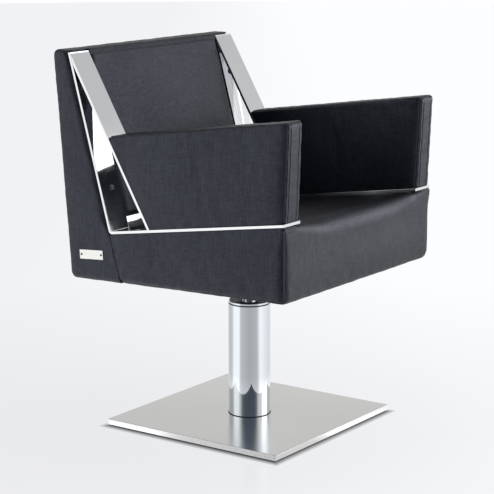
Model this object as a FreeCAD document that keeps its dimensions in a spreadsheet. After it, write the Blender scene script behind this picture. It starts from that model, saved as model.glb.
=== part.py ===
import FreeCAD, Part
import os
import Sketcher

# Styling chair: square floor plate, hydraulic pump column, swivel, and an
# upholstered seat, back and arms carried by two bent chromed flat bars.
# Origin at the centre of the floor plate on the floor, +Z up, the sitter
# faces -Y and the sitter's left is +X.  All sizes in millimetres and degrees.

os.makedirs("parts", exist_ok=True)
doc = FreeCAD.newDocument("styling_chair")
Vector = FreeCAD.Vector
X_AXIS, Y_AXIS, Z_AXIS = Vector(1, 0, 0), Vector(0, 1, 0), Vector(0, 0, 1)

# Driving dimensions, as (alias, value).
SIZES = [
    # floor plate
    ("mat_side", 438), ("mat_thick", 3), ("base_side", 450), ("base_top", 16),
    ("skirt_bottom", 4), ("tray_wall", 1.5), ("ballast_side", 446),
    ("tray_hole_rad", 43), ("tray_corner", 2), ("tray_edge", 0.8),
    # pump
    ("pump_rad", 42), ("pump_top", 74), ("bolt_ring", 30), ("bolt_rad", 4),
    ("bolt_head_rad", 7), ("bolt_head_tall", 6), ("bolt_head_gap", 1), ("bolt_end", 32),
    ("cyl_out", 23), ("cyl_bore", 19), ("cyl_top", 244),
    ("tank_out", 40), ("tank_wall", 3),
    ("head_rad", 43), ("head_top", 266), ("wiper_bottom", 262), ("wiper_rad", 24),
    ("bush_out", 21), ("run_gap", 0.05), ("seal_gap", 0.02),
    ("shroud_rad", 46.2), ("shroud_wall", 1.5),
    ("ring_in", 30), ("ring_out", 45.2), ("ring_top", 269),
    ("cap_in", 18.5), ("cap_out", 45.8), ("cap_top", 274), ("cap_edge", 1.5),
    # pedal
    ("pedal_bearing", 45), ("pivot_out", 38), ("pivot_up", 56), ("pivot_rad", 3),
    ("pin_half", 15), ("slot_wide", 12.4), ("slot_in", 27.5), ("slot_low", 38),
    ("slot_high", 68), ("lever_wide", 10), ("heel_in", 33),
    ("heel_out", 41), ("heel_low", 40), ("lever_reach", 172), ("lever_end_up", 76),
    ("lever_deep", 12), ("pad_start", 138), ("pad_wide", 32), ("pad_thick", 9),
    ("pad_corner", 3), ("shroud_slot_wide", 16), ("shroud_slot_low", 42),
    ("shroud_slot_deep", 8), ("plunger_rad", 5), ("plunger_up", 44), ("plunger_in", 14),
    ("plunger_out", 32.8), ("plunger_edge", 1), ("plunger_bore_in", 8),
    # lift ram
    ("ram_rad", 17), ("ram_low", 84), ("piston_top", 108), ("seal_low", 92),
    ("seal_high", 98), ("seal_in", 15), ("ram_shoulder", 286), ("journal_rad", 12),
    ("journal_top", 340.1), ("ram_tap_low", 312), ("washer_thick", 4),
    ("washer_rad", 20), ("keeper_thick", 3), ("keeper_rad", 20),
    ("keep_screw_rad", 5), ("keep_screw_low", 316), ("keep_head_rad", 8.5),
    ("keep_head_tall", 6.4),
    # swivel and seat mount
    ("hub_rad", 30), ("hub_low", 280), ("hub_skirt_bore", 20.5), ("hub_bush_rad", 16),
    ("hub_bush_top", 340), ("hub_top_bore", 21.5), ("hub_high", 352),
    ("plate_half", 100), ("plate_thick", 6), ("plate_hole", 23), ("plate_corner", 8),
    ("mount_half", 70), ("mount_bolt_rad", 4), ("mount_hole_rad", 4.5),
    ("mount_head_rad", 7), ("mount_head_tall", 6), ("mount_bolt_top", 370),
    ("tnut_rad", 5), ("tnut_flange_rad", 10), ("tnut_flange", 2), ("tnut_low", 360),
    ("tnut_bore_long", 40),
    # side profile of the chair
    ("half_width", 287), ("bar_wide", 60), ("bar_thick", 6),
    ("corner_y", 158.3), ("corner_z", 448.3), ("strap_drop", 8.1),
    ("strap_front_y", -286), ("leg_lean", 15.5), ("leg_top", 826.5),
    ("brace_top_y", 258.2), ("brace_top_z", 827.5), ("brace_lean", 30.2),
    ("bend_out", 9), ("arm_front_y", -295), ("arm_front_z", 720),
    ("arm_top_drop", 7.9), ("arm_front_lean", 2.5),
    ("seat_front_y", -289), ("seat_front_low", 353.6), ("skirt_drop", 1.32),
    ("back_low_y", 272), ("back_low_z", 341), ("back_lean", 4.55),
    ("back_top", 831),
    # cross rail
    ("rail_low", 3), ("rail_high", 29),
    # soft covers and their wooden and foam cores
    ("cover", 3), ("cover_round", 8), ("wedge_round", 12), ("arm_round", 7),
    ("board_round", 9), ("rail_round", 12), ("foam_round", 30), ("floor_round", 6),
    ("pad_round", 5), ("front_rail_top", 430), ("board_low", 358),
    ("board_thick", 15), ("side_board", 20), ("dust_thick", 1), ("dust_hole", 102),
    ("arm_core_thick", 15), ("arm_core_in", 24), ("pad_proud", 9), ("pad_depth", 18),
    ("pad_low", 30.5), ("pad_gap", 0.5), ("panel_thick", 9), ("batten_deep", 28),
    ("wedge_side", 12), ("rear_panel", 4), ("rear_panel_gap", 2), ("wedge_floor", 12),
    # fasteners of the frame
    ("arm_bolt_rad", 3), ("arm_bolt_head", 6), ("arm_bolt_long", 38),
    ("arm_bolt_one", 60), ("arm_bolt_two", 270),
    ("strap_screw_rad", 2.5), ("strap_screw_head", 5), ("strap_screw_long", 34),
    ("strap_screw_one", 120), ("strap_screw_two", 380), ("strap_screw_x", 274),
    ("leg_screw_rad", 3), ("leg_screw_head", 6.5), ("leg_screw_dome", 3.2),
    ("leg_screw_crown", 0.62), ("leg_screw_long", 26), ("leg_screw_low", 95),
    ("leg_screw_mid", 303), ("leg_screw_x", 252),
    # blank plate on the side of the back
    ("tag_long", 64), ("tag_tall", 20), ("tag_thick", 1), ("tag_y", 208.5),
    ("tag_z", 399), ("tag_tilt", 4), ("tag_screw_rad", 1.25), ("tag_screw_head", 2.6),
    ("tag_screw_half", 27), ("tag_screw_long", 9), ("tag_screw_cap", 1),
    # overlap of joined solids, and how far cutting tools run past a face
    ("lap", 1), ("overrun", 2), ("overrun_long", 5), ("arm_overrun", 10),
    ("skirt_overrun", 12), ("opening_overrun", 20),
]
SIZE = dict(SIZES)

sheet = doc.addObject("Spreadsheet::Sheet", "dims")
for row, (alias, size) in enumerate(SIZES, start=1):
    sheet.set(f"A{row}", alias)
    sheet.set(f"B{row}", repr(size))
    sheet.setAlias(f"B{row}", alias)
doc.recompute()

parts = []


def keep(*objects):
    """Mark objects for export, each to a file named by its label."""
    parts.extend(objects)


def value_of(expression):
    found = sheet.evalExpression(expression.replace("dims.", ""))
    return float(getattr(found, "Value", found))


# ---------------------------------------------------------------- sketched bodies
def new_body(label):
    body = doc.addObject("PartDesign::Body", label)
    body.Label = label
    return body


def new_sketch(body, name, role, offset):
    sketch = body.newObject("Sketcher::SketchObject", name)
    plane = [o for o in body.Origin.OriginFeatures if o.Role == role][0]
    sketch.AttachmentSupport = [(plane, "")]
    sketch.MapMode = "FlatFace"
    if offset is not None:
        sketch.setExpression("AttachmentOffset.Base.z", offset)
    return sketch


def bind_point(sketch, geometry, point, position):
    """Hold a point of the sketch at two expressions, or on an axis where one is "0"."""
    for kind, axis, expression in zip(("DistanceX", "DistanceY"), (-2, -1), position):
        if expression == "0":
            sketch.addConstraint(
                Sketcher.Constraint("PointOnObject", geometry, point, axis))
        else:
            index = sketch.addConstraint(
                Sketcher.Constraint(kind, -1, 1, geometry, point, value_of(expression)))
            sketch.setExpression(f"Constraints[{index}]", expression)


def outline(body, name, role, points, offset=None):
    """Closed outline with straight sides, every corner bound to the sheet."""
    sketch = new_sketch(body, name, role, offset)
    places = [Vector(value_of(across), value_of(up), 0) for across, up in points]
    count = len(points)
    for i in range(count):
        sketch.addGeometry(Part.LineSegment(places[i], places[(i + 1) % count]), False)
    for i in range(count):
        sketch.addConstraint(Sketcher.Constraint("Coincident", i, 2, (i + 1) % count, 1))
    for i in range(count):
        bind_point(sketch, i, 1, points[i])
    return sketch


def circle(body, name, role, centre, radius, offset=None):
    sketch = new_sketch(body, name, role, offset)
    middle = Vector(value_of(centre[0]), value_of(centre[1]), 0)
    sketch.addGeometry(Part.Circle(middle, Z_AXIS, value_of(radius)), False)
    index = sketch.addConstraint(Sketcher.Constraint("Radius", 0, value_of(radius)))
    sketch.setExpression(f"Constraints[{index}]", radius)
    bind_point(sketch, 0, 3, centre)
    return sketch


def pad(body, sketch, length, midplane):
    feature = body.newObject("PartDesign::Pad", sketch.Name + "_pad")
    feature.Profile = sketch
    feature.setExpression("Length", length)
    if midplane:
        feature.Midplane = True
    sketch.Visibility = False
    doc.recompute()
    return body


def padded_outline(label, role, points, length, start=None, midplane=False, stem=None):
    """Padded outline; stem names the sketch where it differs from the body."""
    body = new_body(label)
    sketch = outline(body, (stem or label) + "_outline", role, points, start)
    return pad(body, sketch, length, midplane)


def padded_circle(label, role, centre, radius, length, start=None, midplane=False, stem=None):
    body = new_body(label)
    sketch = circle(body, (stem or label) + "_circle", role, centre, radius, start)
    return pad(body, sketch, length, midplane)


def prism(label, points, start, width):
    """Outline in the side plane, padded towards +X from start."""
    return padded_outline(label, "YZ_Plane", points, width, start)


def wide_prism(label, points, half):
    """Outline in the side plane, padded from -half to +half in X."""
    return prism(label, points, f"(-{half})", f"2 * {half}")


def slab(label, half, low, thick):
    """Square centred on the Z axis, padded upwards from low."""
    less = f"-({half})"
    points = [(less, less), (half, less), (half, half), (less, half)]
    return padded_outline(label, "XY_Plane", points, thick, low)


def turned(label, points):
    """Body of revolution about Z from (radius, height) corners."""
    body = new_body(label)
    sketch = outline(body, label + "_outline", "XZ_Plane", points)
    turn = body.newObject("PartDesign::Revolution", label + "_turn")
    turn.Profile = sketch
    turn.ReferenceAxis = (sketch, ["V_Axis"])
    turn.Angle = 360
    doc.recompute()
    return body


def tube(label, inner, outer, low, high):
    return turned(label, [(inner, low), (outer, low), (outer, high), (inner, high)])


# ---------------------------------------------------------------- edges
def round_edges(body, radius, test, kind="Fillet"):
    """Round (or chamfer) the edges of the body's tip that pass the test."""
    names = [f"Edge{i}" for i, edge in enumerate(body.Shape.Edges, start=1) if test(edge)]
    assert names, body.Label
    tip = body.Tip
    name = f"{body.Label}_{kind.lower()}{len(body.Group)}"
    feature = body.newObject("PartDesign::" + kind, name)
    feature.Base = (tip, names)
    feature.setExpression("Radius" if kind == "Fillet" else "Size", radius)
    doc.recompute()


def near(one, two, tolerance=0.1):
    return abs(one - two) < tolerance


def rising(least):
    """Test for edges whose ends differ in height by more than least."""
    return lambda edge: abs(edge.Vertexes[0].Z - edge.Vertexes[-1].Z) > least


def every(test):
    """Test for edges with every vertex passing the given test."""
    return lambda edge: all(test(vertex) for vertex in edge.Vertexes)


# ---------------------------------------------------------------- solids and booleans
def turn_about(obj, axis, angle):
    obj.Placement = FreeCAD.Placement(Vector(0, 0, 0), FreeCAD.Rotation(axis, value_of(angle)))
    obj.setExpression("Placement.Rotation.Angle", angle)


def turn_to_pedal(obj):
    """Swing a body made along +X round to the bearing of the pedal."""
    turn_about(obj, Z_AXIS, "dims.pedal_bearing")
    return obj


def place(obj, position, angle=None, axis=X_AXIS):
    """Bind a placement: position, and a turn about the axis when one is given."""
    if angle is not None:
        turn_about(obj, axis, angle)
    for letter, expression in zip("xyz", position):
        obj.setExpression("Placement.Base." + letter, expression)


def rod(name, radius, length, position, angle=None, axis=X_AXIS):
    cylinder = doc.addObject("Part::Cylinder", name)
    cylinder.setExpression("Radius", radius)
    cylinder.setExpression("Height", length)
    place(cylinder, position, angle, axis)
    return cylinder


def taper(name, start_radius, end_radius, length, position, angle):
    cone = doc.addObject("Part::Cone", name)
    cone.setExpression("Radius1", start_radius)
    cone.setExpression("Radius2", end_radius)
    cone.setExpression("Height", length)
    place(cone, position, angle)
    return cone


def fused(name, shapes):
    fusion = doc.addObject("Part::MultiFuse", name)
    fusion.Shapes = shapes
    fusion.Refine = True
    fusion.Label = name
    return fusion


def cut(name, base, tool):
    result = doc.addObject("Part::Cut", name)
    result.Base = base
    result.Tool = tool
    result.Label = name
    return result


def compound(name, shapes):
    group = doc.addObject("Part::Compound", name)
    group.Links = shapes
    group.Label = name
    return group


# ---------------------------------------------------------------- side profile
# A straight line of the side profile is a unit normal at some angle (from +Y
# towards +Z) and a distance along that normal, both as expressions.
def through(angle, y, z):
    return (angle, f"({y}) * cos({angle}) + ({z}) * sin({angle})")


def level(z):
    return through("90", "0", z)


def shift(line, distance):
    """The line moved along its normal."""
    return (line[0], f"{line[1]} + ({distance})")


def meet(one, two):
    """Crossing point of two lines, as (y, z)."""
    (angle1, far1), (angle2, far2) = one, two
    spread = f"sin({angle2} - ({angle1}))"
    y = f"(({far1}) * sin({angle2}) - ({far2}) * sin({angle1})) / {spread}"
    z = f"(({far2}) * cos({angle1}) - ({far1}) * cos({angle2})) / {spread}"
    return (y, z)


def corners(*lines):
    """Corners of the outline that the lines bound in turn."""
    return [meet(line, lines[(i + 1) % len(lines)]) for i, line in enumerate(lines)]


# Normals: UNDER, ARM_TOP, SKIRT up; LEG, BRACE, ARM_FRONT, STRAP_END and
# SEAT_FRONT forward; REAR rearward.
UNDER_ANGLE = "(90 - dims.strap_drop)"
UNDER = through(UNDER_ANGLE, "dims.corner_y", "dims.corner_z")  # strap underside, seat top
LEG = through("(180 - dims.leg_lean)", "dims.corner_y", "dims.corner_z")  # leg's rear face
BRACE = through("(180 - dims.brace_lean)", "dims.brace_top_y", "dims.brace_top_z")  # front face
ARM_TOP = through("(90 - dims.arm_top_drop)", "dims.arm_front_y", "dims.arm_front_z")
ARM_FRONT = through("(180 + dims.arm_front_lean)", "dims.arm_front_y", "dims.arm_front_z")
STRAP_END = through("180", "dims.strap_front_y", "0")
SEAT_FRONT = through("180", "dims.seat_front_y", "0")
SKIRT = through("(90 - dims.skirt_drop)", "dims.seat_front_y", "dims.seat_front_low")
REAR = through("(-dims.back_lean)", "dims.back_low_y", "dims.back_low_z")
TOP = level("dims.back_top")
LEG_TOP = level("dims.leg_top")
STRAP_TOP = shift(UNDER, "dims.bar_thick")
LEG_FRONT = shift(LEG, "dims.bar_thick")


def across_leg(height):
    """Line square to the leg, this far up the leg from its lower corner."""
    return shift(through("(90 - dims.leg_lean)", "dims.corner_y", "dims.corner_z"), height)


INNER_X = "(dims.half_width - dims.bar_wide)"
COVERED_X = "(dims.half_width - dims.cover)"
# (side, lower X of the side's bars and arm, sign of its X)
SIDES = (("left", INNER_X, ""), ("right", "(-dims.half_width)", "-"))

# ---------------------------------------------------------------- floor plate
floor_mat = slab("floor_mat", "dims.mat_side / 2", "0", "dims.mat_thick")
round_edges(floor_mat, "dims.tray_corner", rising(1))
keep(floor_mat)

tray_under = "(dims.base_top - dims.tray_wall)"
ballast = slab("ballast_blank", "dims.ballast_side / 2", "dims.mat_thick",
               tray_under + " - dims.mat_thick")

# four bolts up through the ballast into the pump
ballast_holes, pump_bolts, pump_taps = [], [], []
for i, (x_sign, y_sign) in enumerate([(1, 0), (0, 1), (-1, 0), (0, -1)], start=1):
    x, y = f"dims.bolt_ring * ({x_sign})", f"dims.bolt_ring * ({y_sign})"
    ballast_holes.append(rod(f"ballast_bore{i}", "dims.bolt_rad", tray_under, (x, y, "0")))
    ballast_holes.append(rod(f"ballast_sink{i}", "dims.bolt_head_rad + dims.bolt_head_gap",
                             "dims.mat_thick + dims.bolt_head_tall", (x, y, "0")))
    pump_bolts.append(fused(f"pump_bolt{i}", [
        rod(f"pump_bolt_head{i}", "dims.bolt_head_rad", "dims.bolt_head_tall",
            (x, y, "dims.mat_thick")),
        rod(f"pump_bolt_shank{i}", "dims.bolt_rad", "dims.bolt_end - dims.mat_thick - dims.lap",
            (x, y, "dims.mat_thick + dims.lap"))]))
    pump_taps.append(rod(f"pump_tap{i}", "dims.bolt_rad",
                         "dims.bolt_end - dims.base_top + 2 * dims.overrun",
                         (x, y, "dims.base_top - dims.overrun")))
keep(cut("ballast_plate", ballast, fused("ballast_holes", ballast_holes)))
keep(fused("pump_bolts", pump_bolts))

tray_outer = slab("tray_outer", "dims.base_side / 2", "dims.skirt_bottom",
                  "dims.base_top - dims.skirt_bottom")
round_edges(tray_outer, "dims.tray_corner", rising(1))
round_edges(tray_outer, "dims.tray_edge",
            every(lambda vertex: vertex.Z > SIZE["base_top"] - 0.1), "Chamfer")
tray_inner = slab("tray_inner", "dims.base_side / 2 - dims.tray_wall", "0", tray_under)
tray_hole = rod("tray_hole", "dims.tray_hole_rad", "dims.base_top + dims.overrun",
                ("0", "0", "0"))
keep(cut("base_cover", tray_outer, fused("tray_void", [tray_inner, tray_hole])))


# ---------------------------------------------------------------- pump
def pivot_bar(label, radius, half):
    """Round bar along the pedal's pivot, half its length to each side."""
    return turn_to_pedal(padded_circle(
        label, "XZ_Plane", ("dims.pivot_out", "dims.pivot_up"), radius, f"2 * ({half})",
        midplane=True))


def pedal_slot(label, inner, outer, low, width):
    """Upright slot on the pedal's bearing, up to the common slot top."""
    points = [(inner, low), (outer, low), (outer, "dims.slot_high"), (inner, "dims.slot_high")]
    return turn_to_pedal(padded_outline(label, "XZ_Plane", points, width, midplane=True))


pump_blank = turned("pump_blank", [
    ("0", tray_under), ("dims.pump_rad", tray_under),
    ("dims.pump_rad", "dims.pump_top"), ("0", "dims.pump_top")])
pump_slot = pedal_slot("pump_slot", "dims.slot_in", "dims.pump_rad + dims.overrun_long",
                       "dims.slot_low", "dims.slot_wide")
plunger_bore = turn_to_pedal(padded_circle(
    "plunger_bore", "YZ_Plane", ("0", "dims.plunger_up"), "dims.plunger_rad + dims.run_gap",
    "dims.slot_in - dims.plunger_bore_in + dims.lap", "dims.plunger_bore_in"))
pin_hole = pivot_bar("pin_hole", "dims.pivot_rad", "dims.pin_half")
pump_voids = fused("pump_voids", [pump_slot, plunger_bore, pin_hole] + pump_taps)
keep(cut("pump_base", pump_blank, pump_voids))
keep(pivot_bar("pedal_pin", "dims.pivot_rad", "dims.pin_half"))
keep(tube("pressure_cylinder", "dims.cyl_bore", "dims.cyl_out", "dims.pump_top", "dims.cyl_top"))
keep(tube("reservoir_tube", "dims.tank_out - dims.tank_wall", "dims.tank_out",
          "dims.pump_top", "dims.cyl_top"))
keep(turned("pump_head", [
    ("dims.bush_out", "dims.cyl_top"), ("dims.head_rad", "dims.cyl_top"),
    ("dims.head_rad", "dims.head_top"), ("dims.wiper_rad", "dims.head_top"),
    ("dims.wiper_rad", "dims.wiper_bottom"), ("dims.bush_out", "dims.wiper_bottom")]))
keep(tube("guide_bush", "dims.ram_rad + dims.run_gap", "dims.bush_out",
          "dims.cyl_top", "dims.wiper_bottom"))
keep(tube("wiper_seal", "dims.ram_rad + dims.seal_gap", "dims.wiper_rad",
          "dims.wiper_bottom", "dims.head_top"))
shroud_blank = tube("shroud_blank", "dims.shroud_rad - dims.shroud_wall", "dims.shroud_rad",
                    "dims.base_top", "dims.head_top")
shroud_slot = pedal_slot("shroud_slot", "dims.shroud_rad - dims.shroud_slot_deep",
                         "dims.shroud_rad + dims.overrun_long",
                         "dims.shroud_slot_low", "dims.shroud_slot_wide")
keep(cut("column_shroud", shroud_blank, shroud_slot))
keep(tube("column_ring", "dims.ring_in", "dims.ring_out", "dims.head_top", "dims.ring_top"))
cap = tube("column_cap", "dims.cap_in", "dims.cap_out", "dims.ring_top", "dims.cap_top")
round_edges(cap, "dims.cap_edge",
            lambda edge: near(edge.BoundBox.ZMin, SIZE["cap_top"])
            and near(edge.BoundBox.XMax, SIZE["cap_out"]), "Chamfer")
keep(cap)

# ---------------------------------------------------------------- pedal
lever_end_low = "dims.lever_end_up - dims.lever_deep / 2"
lever_end_high = "dims.lever_end_up + dims.lever_deep / 2"
lever = turn_to_pedal(padded_outline("lever_blank", "XZ_Plane", [
    ("dims.heel_in", "dims.heel_low"), ("dims.heel_out", "dims.heel_low"),
    ("dims.heel_out", "dims.pivot_up - dims.lever_deep / 2"),
    ("dims.lever_reach", lever_end_low), ("dims.lever_reach", lever_end_high),
    ("dims.heel_in", "dims.pivot_up + dims.lever_deep / 2")],
    "dims.lever_wide", midplane=True, stem="lever"))
lever_bore = pivot_bar("lever_bore", "dims.pivot_rad + dims.run_gap", "dims.lever_wide")
keep(cut("pedal_lever", lever, lever_bore))

# the foot pad lies on the sloping top of the lever
slope = "((dims.lever_end_up - dims.pivot_up) / (dims.lever_reach - dims.heel_in))"
pad_low_z = f"({lever_end_high} - {slope} * (dims.lever_reach - dims.pad_start))"
pedal_pad = padded_outline("pedal_pad", "XZ_Plane", [
    ("dims.pad_start", pad_low_z), ("dims.lever_reach", lever_end_high),
    ("dims.lever_reach", lever_end_high + " + dims.pad_thick"),
    ("dims.pad_start", pad_low_z + " + dims.pad_thick")], "dims.pad_wide", midplane=True)
round_edges(pedal_pad, "dims.pad_corner", rising(SIZE["pad_thick"] - 1))
keep(turn_to_pedal(pedal_pad))

plunger = padded_circle("pump_plunger", "YZ_Plane", ("0", "dims.plunger_up"),
                        "dims.plunger_rad", "dims.plunger_out - dims.plunger_in",
                        "dims.plunger_in", stem="plunger")
round_edges(plunger, "dims.plunger_edge",
            lambda edge: near(edge.BoundBox.XMin, SIZE["plunger_out"])
            and near(edge.BoundBox.XLength, 0), "Chamfer")
keep(turn_to_pedal(plunger))

# ---------------------------------------------------------------- lift ram
piston_rad = "(dims.cyl_bore - dims.run_gap)"
keep(turned("lift_ram", [
    ("0", "dims.ram_low"), (piston_rad, "dims.ram_low"), (piston_rad, "dims.seal_low"),
    ("dims.seal_in", "dims.seal_low"), ("dims.seal_in", "dims.seal_high"),
    (piston_rad, "dims.seal_high"), (piston_rad, "dims.piston_top"),
    ("dims.ram_rad", "dims.piston_top"), ("dims.ram_rad", "dims.ram_shoulder"),
    ("dims.journal_rad", "dims.ram_shoulder"), ("dims.journal_rad", "dims.journal_top"),
    ("dims.keep_screw_rad", "dims.journal_top"), ("dims.keep_screw_rad", "dims.ram_tap_low"),
    ("0", "dims.ram_tap_low")]))
keep(tube("ram_seal", "dims.seal_in", "dims.cyl_bore - dims.seal_gap",
          "dims.seal_low", "dims.seal_high"))
washer_top = "(dims.ram_shoulder + dims.washer_thick)"
keep(tube("thrust_washer", "dims.journal_rad", "dims.washer_rad",
          "dims.ram_shoulder", washer_top))
keeper_top = "(dims.journal_top + dims.keeper_thick)"
screw_top = keeper_top + " + dims.keep_head_tall"
keep(tube("keeper_washer", "dims.keep_screw_rad", "dims.keeper_rad",
          "dims.journal_top", keeper_top))
keep(turned("keeper_screw", [
    ("0", "dims.keep_screw_low"), ("dims.keep_screw_rad", "dims.keep_screw_low"),
    ("dims.keep_screw_rad", keeper_top), ("dims.keep_head_rad", keeper_top),
    ("dims.keep_head_rad", screw_top), ("0", screw_top)]))

# ---------------------------------------------------------------- swivel and seat mount
keep(turned("swivel_hub", [
    ("dims.hub_skirt_bore", "dims.hub_low"), ("dims.hub_rad", "dims.hub_low"),
    ("dims.hub_rad", "dims.hub_high"), ("dims.hub_top_bore", "dims.hub_high"),
    ("dims.hub_top_bore", "dims.hub_bush_top"), ("dims.hub_bush_rad", "dims.hub_bush_top"),
    ("dims.hub_bush_rad", washer_top), ("dims.hub_skirt_bore", washer_top)]))
keep(tube("swivel_bush", "dims.journal_rad + dims.run_gap", "dims.hub_bush_rad",
          washer_top, "dims.hub_bush_top"))
plate = slab("mount_plate_blank", "dims.plate_half", "dims.hub_high", "dims.plate_thick")
round_edges(plate, "dims.plate_corner", rising(1))

# four bolts up through the plate into T-nuts let into the seat board
plate_hole_long = "dims.plate_thick + 2 * dims.overrun"
plate_hole_low = "dims.hub_high - dims.overrun"
board_top = "(dims.board_low + dims.board_thick)"
flange_low = f"({board_top} - dims.tnut_flange)"
plate_holes = [rod("plate_centre", "dims.plate_hole", plate_hole_long,
                   ("0", "0", plate_hole_low))]
board_holes, seat_bolts, nuts = [], [], []
for i, (x_sign, y_sign) in enumerate([(1, 1), (-1, 1), (-1, -1), (1, -1)], start=1):
    x, y = f"dims.mount_half * ({x_sign})", f"dims.mount_half * ({y_sign})"
    plate_holes.append(rod(f"plate_hole{i}", "dims.mount_hole_rad", plate_hole_long,
                           (x, y, plate_hole_low)))
    board_holes.append(rod(f"board_bore{i}", "dims.tnut_rad",
                           "dims.board_thick + 2 * dims.overrun",
                           (x, y, "dims.board_low - dims.overrun")))
    board_holes.append(rod(f"board_sink{i}", "dims.tnut_flange_rad",
                           "dims.tnut_flange + dims.overrun", (x, y, flange_low)))
    seat_bolts.append(fused(f"seat_bolt{i}", [
        rod(f"seat_bolt_head{i}", "dims.mount_head_rad", "dims.mount_head_tall",
            (x, y, "dims.hub_high - dims.mount_head_tall")),
        rod(f"seat_bolt_shank{i}", "dims.mount_bolt_rad",
            "dims.mount_bolt_top - dims.hub_high + dims.lap",
            (x, y, "dims.hub_high - dims.lap"))]))
    nut_blank = fused(f"t_nut_blank{i}", [
        rod(f"t_nut_barrel{i}", "dims.tnut_rad", flange_low + " - dims.tnut_low + dims.lap",
            (x, y, "dims.tnut_low")),
        rod(f"t_nut_flange{i}", "dims.tnut_flange_rad", "dims.tnut_flange",
            (x, y, flange_low))])
    nut_bore = rod(f"t_nut_bore{i}", "dims.mount_bolt_rad", "dims.tnut_bore_long",
                   (x, y, "dims.tnut_low - dims.overrun_long"))
    nuts.append(cut(f"t_nut{i}", nut_blank, nut_bore))
keep(cut("seat_mount_plate", plate, fused("plate_holes", plate_holes)))
keep(fused("seat_bolts", seat_bolts))
keep(compound("t_nuts", nuts))

# ---------------------------------------------------------------- seat
FRONT_IN = shift(SEAT_FRONT, "-dims.cover")
FRONT_RAIL = shift(SEAT_FRONT, "-(dims.cover + dims.side_board)")
FRONT_RAIL_TOP = level("dims.front_rail_top")
SEAT_TOP_IN = shift(UNDER, "-dims.cover")
SEAM_IN = shift(LEG, "dims.cover")
SEAM_RAIL = shift(LEG, "dims.cover + dims.side_board")
BOARD_LOW, BOARD_TOP = level("dims.board_low"), level(board_top)
rail_in_x = "(dims.half_width - dims.cover - dims.side_board)"
covered_x_size = SIZE["half_width"] - SIZE["cover"]
covered_front_y = SIZE["seat_front_y"] + SIZE["cover"]
FOAM_EDGE_Z = 480  # only the seat foam's top edge lies above this at the front


def at_side(vertex):
    return near(abs(vertex.X), covered_x_size)


def at_front(vertex):
    return near(vertex.Y, covered_front_y)


def at_bottom(vertex):
    return near(vertex.Z, SIZE["board_low"])


seat_outer = wide_prism("seat_outer", corners(SEAT_FRONT, UNDER, LEG, SKIRT), "dims.half_width")
round_edges(seat_outer, "dims.cover_round",
            every(lambda vertex: near(vertex.Y, SIZE["seat_front_y"])))
# the inside runs out below, so the cover is open underneath
seat_inner = wide_prism(
    "seat_inner",
    corners(FRONT_IN, SEAT_TOP_IN, SEAM_IN, shift(SKIRT, "-dims.skirt_overrun")), COVERED_X)

side_rail = corners(FRONT_IN, SEAT_TOP_IN, SEAM_IN, BOARD_LOW)
rails = {
    "left": prism("rail_left", side_rail, rail_in_x, "dims.side_board"),
    "right": prism("rail_right", side_rail, f"(-{COVERED_X})", "dims.side_board"),
}
for rail in rails.values():
    # the outer, front and bottom faces meet along these edges
    round_edges(rail, "dims.rail_round", every(
        lambda vertex: at_side(vertex) + at_front(vertex) + at_bottom(vertex) >= 2))

rail_front = wide_prism("rail_front", corners(FRONT_IN, FRONT_RAIL_TOP, FRONT_RAIL, BOARD_LOW),
                        rail_in_x)
rail_rear = wide_prism("rail_rear", corners(SEAM_RAIL, SEAT_TOP_IN, SEAM_IN, BOARD_LOW),
                       rail_in_x)
round_edges(rail_front, "dims.rail_round",
            every(lambda vertex: at_front(vertex) and at_bottom(vertex)))
keep(compound("seat_cross_rails", [rail_front, rail_rear]))

board = wide_prism("board_blank", corners(FRONT_RAIL, BOARD_TOP, SEAM_RAIL, BOARD_LOW), rail_in_x)
keep(cut("seat_board", board, fused("board_holes", board_holes)))

# the seat foam laps over the low front rail and is rounded along its front edge
seat_foam = wide_prism(
    "seat_foam",
    corners(FRONT_IN, SEAT_TOP_IN, SEAM_RAIL, BOARD_TOP, FRONT_RAIL, FRONT_RAIL_TOP), rail_in_x)
round_edges(seat_foam, "dims.foam_round",
            every(lambda vertex: at_front(vertex) and vertex.Z > FOAM_EDGE_Z))
keep(seat_foam)

dust_cloth = wide_prism(
    "dust_blank",
    corners(FRONT_RAIL, BOARD_LOW, SEAM_RAIL, shift(BOARD_LOW, "-dims.dust_thick")), rail_in_x)
dust_opening = slab("dust_opening", "dims.dust_hole", "dims.board_low - dims.overrun_long",
                    "2 * dims.overrun_long")
keep(cut("dust_cover", dust_cloth, dust_opening))
seat_cover_plain = cut("seat_cover_plain", seat_outer, seat_inner)

# ---------------------------------------------------------------- frame fasteners
up_from_strap = "-dims.strap_drop"
down_into_strap = "180 - dims.strap_drop"
rearward = "-(90 + dims.leg_lean)"
bar_mid_x = "(dims.half_width - dims.bar_wide / 2)"


def on_strap(back, lift):
    """Point this far back from the strap's front end, lifted above its underside."""
    front_y, front_z = meet(STRAP_END, UNDER)
    y = f"{front_y} + ({back}) * cos(dims.strap_drop) + ({lift}) * sin(dims.strap_drop)"
    z = f"{front_z} - ({back}) * sin(dims.strap_drop) + ({lift}) * cos(dims.strap_drop)"
    return y, z


def on_leg(height, out):
    """Point this far up the leg from its lower corner, out in front of its rear face."""
    y = f"dims.corner_y + ({height}) * sin(dims.leg_lean) - ({out}) * cos(dims.leg_lean)"
    z = f"dims.corner_z + ({height}) * cos(dims.leg_lean) + ({out}) * sin(dims.leg_lean)"
    return y, z


def countersunk(name, kind, position, angle):
    """Shank and conical head, sized by the aliases that start with kind."""
    radius, head = f"dims.{kind}_rad", f"dims.{kind}_head"
    return fused(name, [
        rod(name + "_shank", radius, f"dims.{kind}_long", position, angle),
        taper(name + "_head", head, radius, f"{head} - {radius}", position, angle)])


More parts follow.
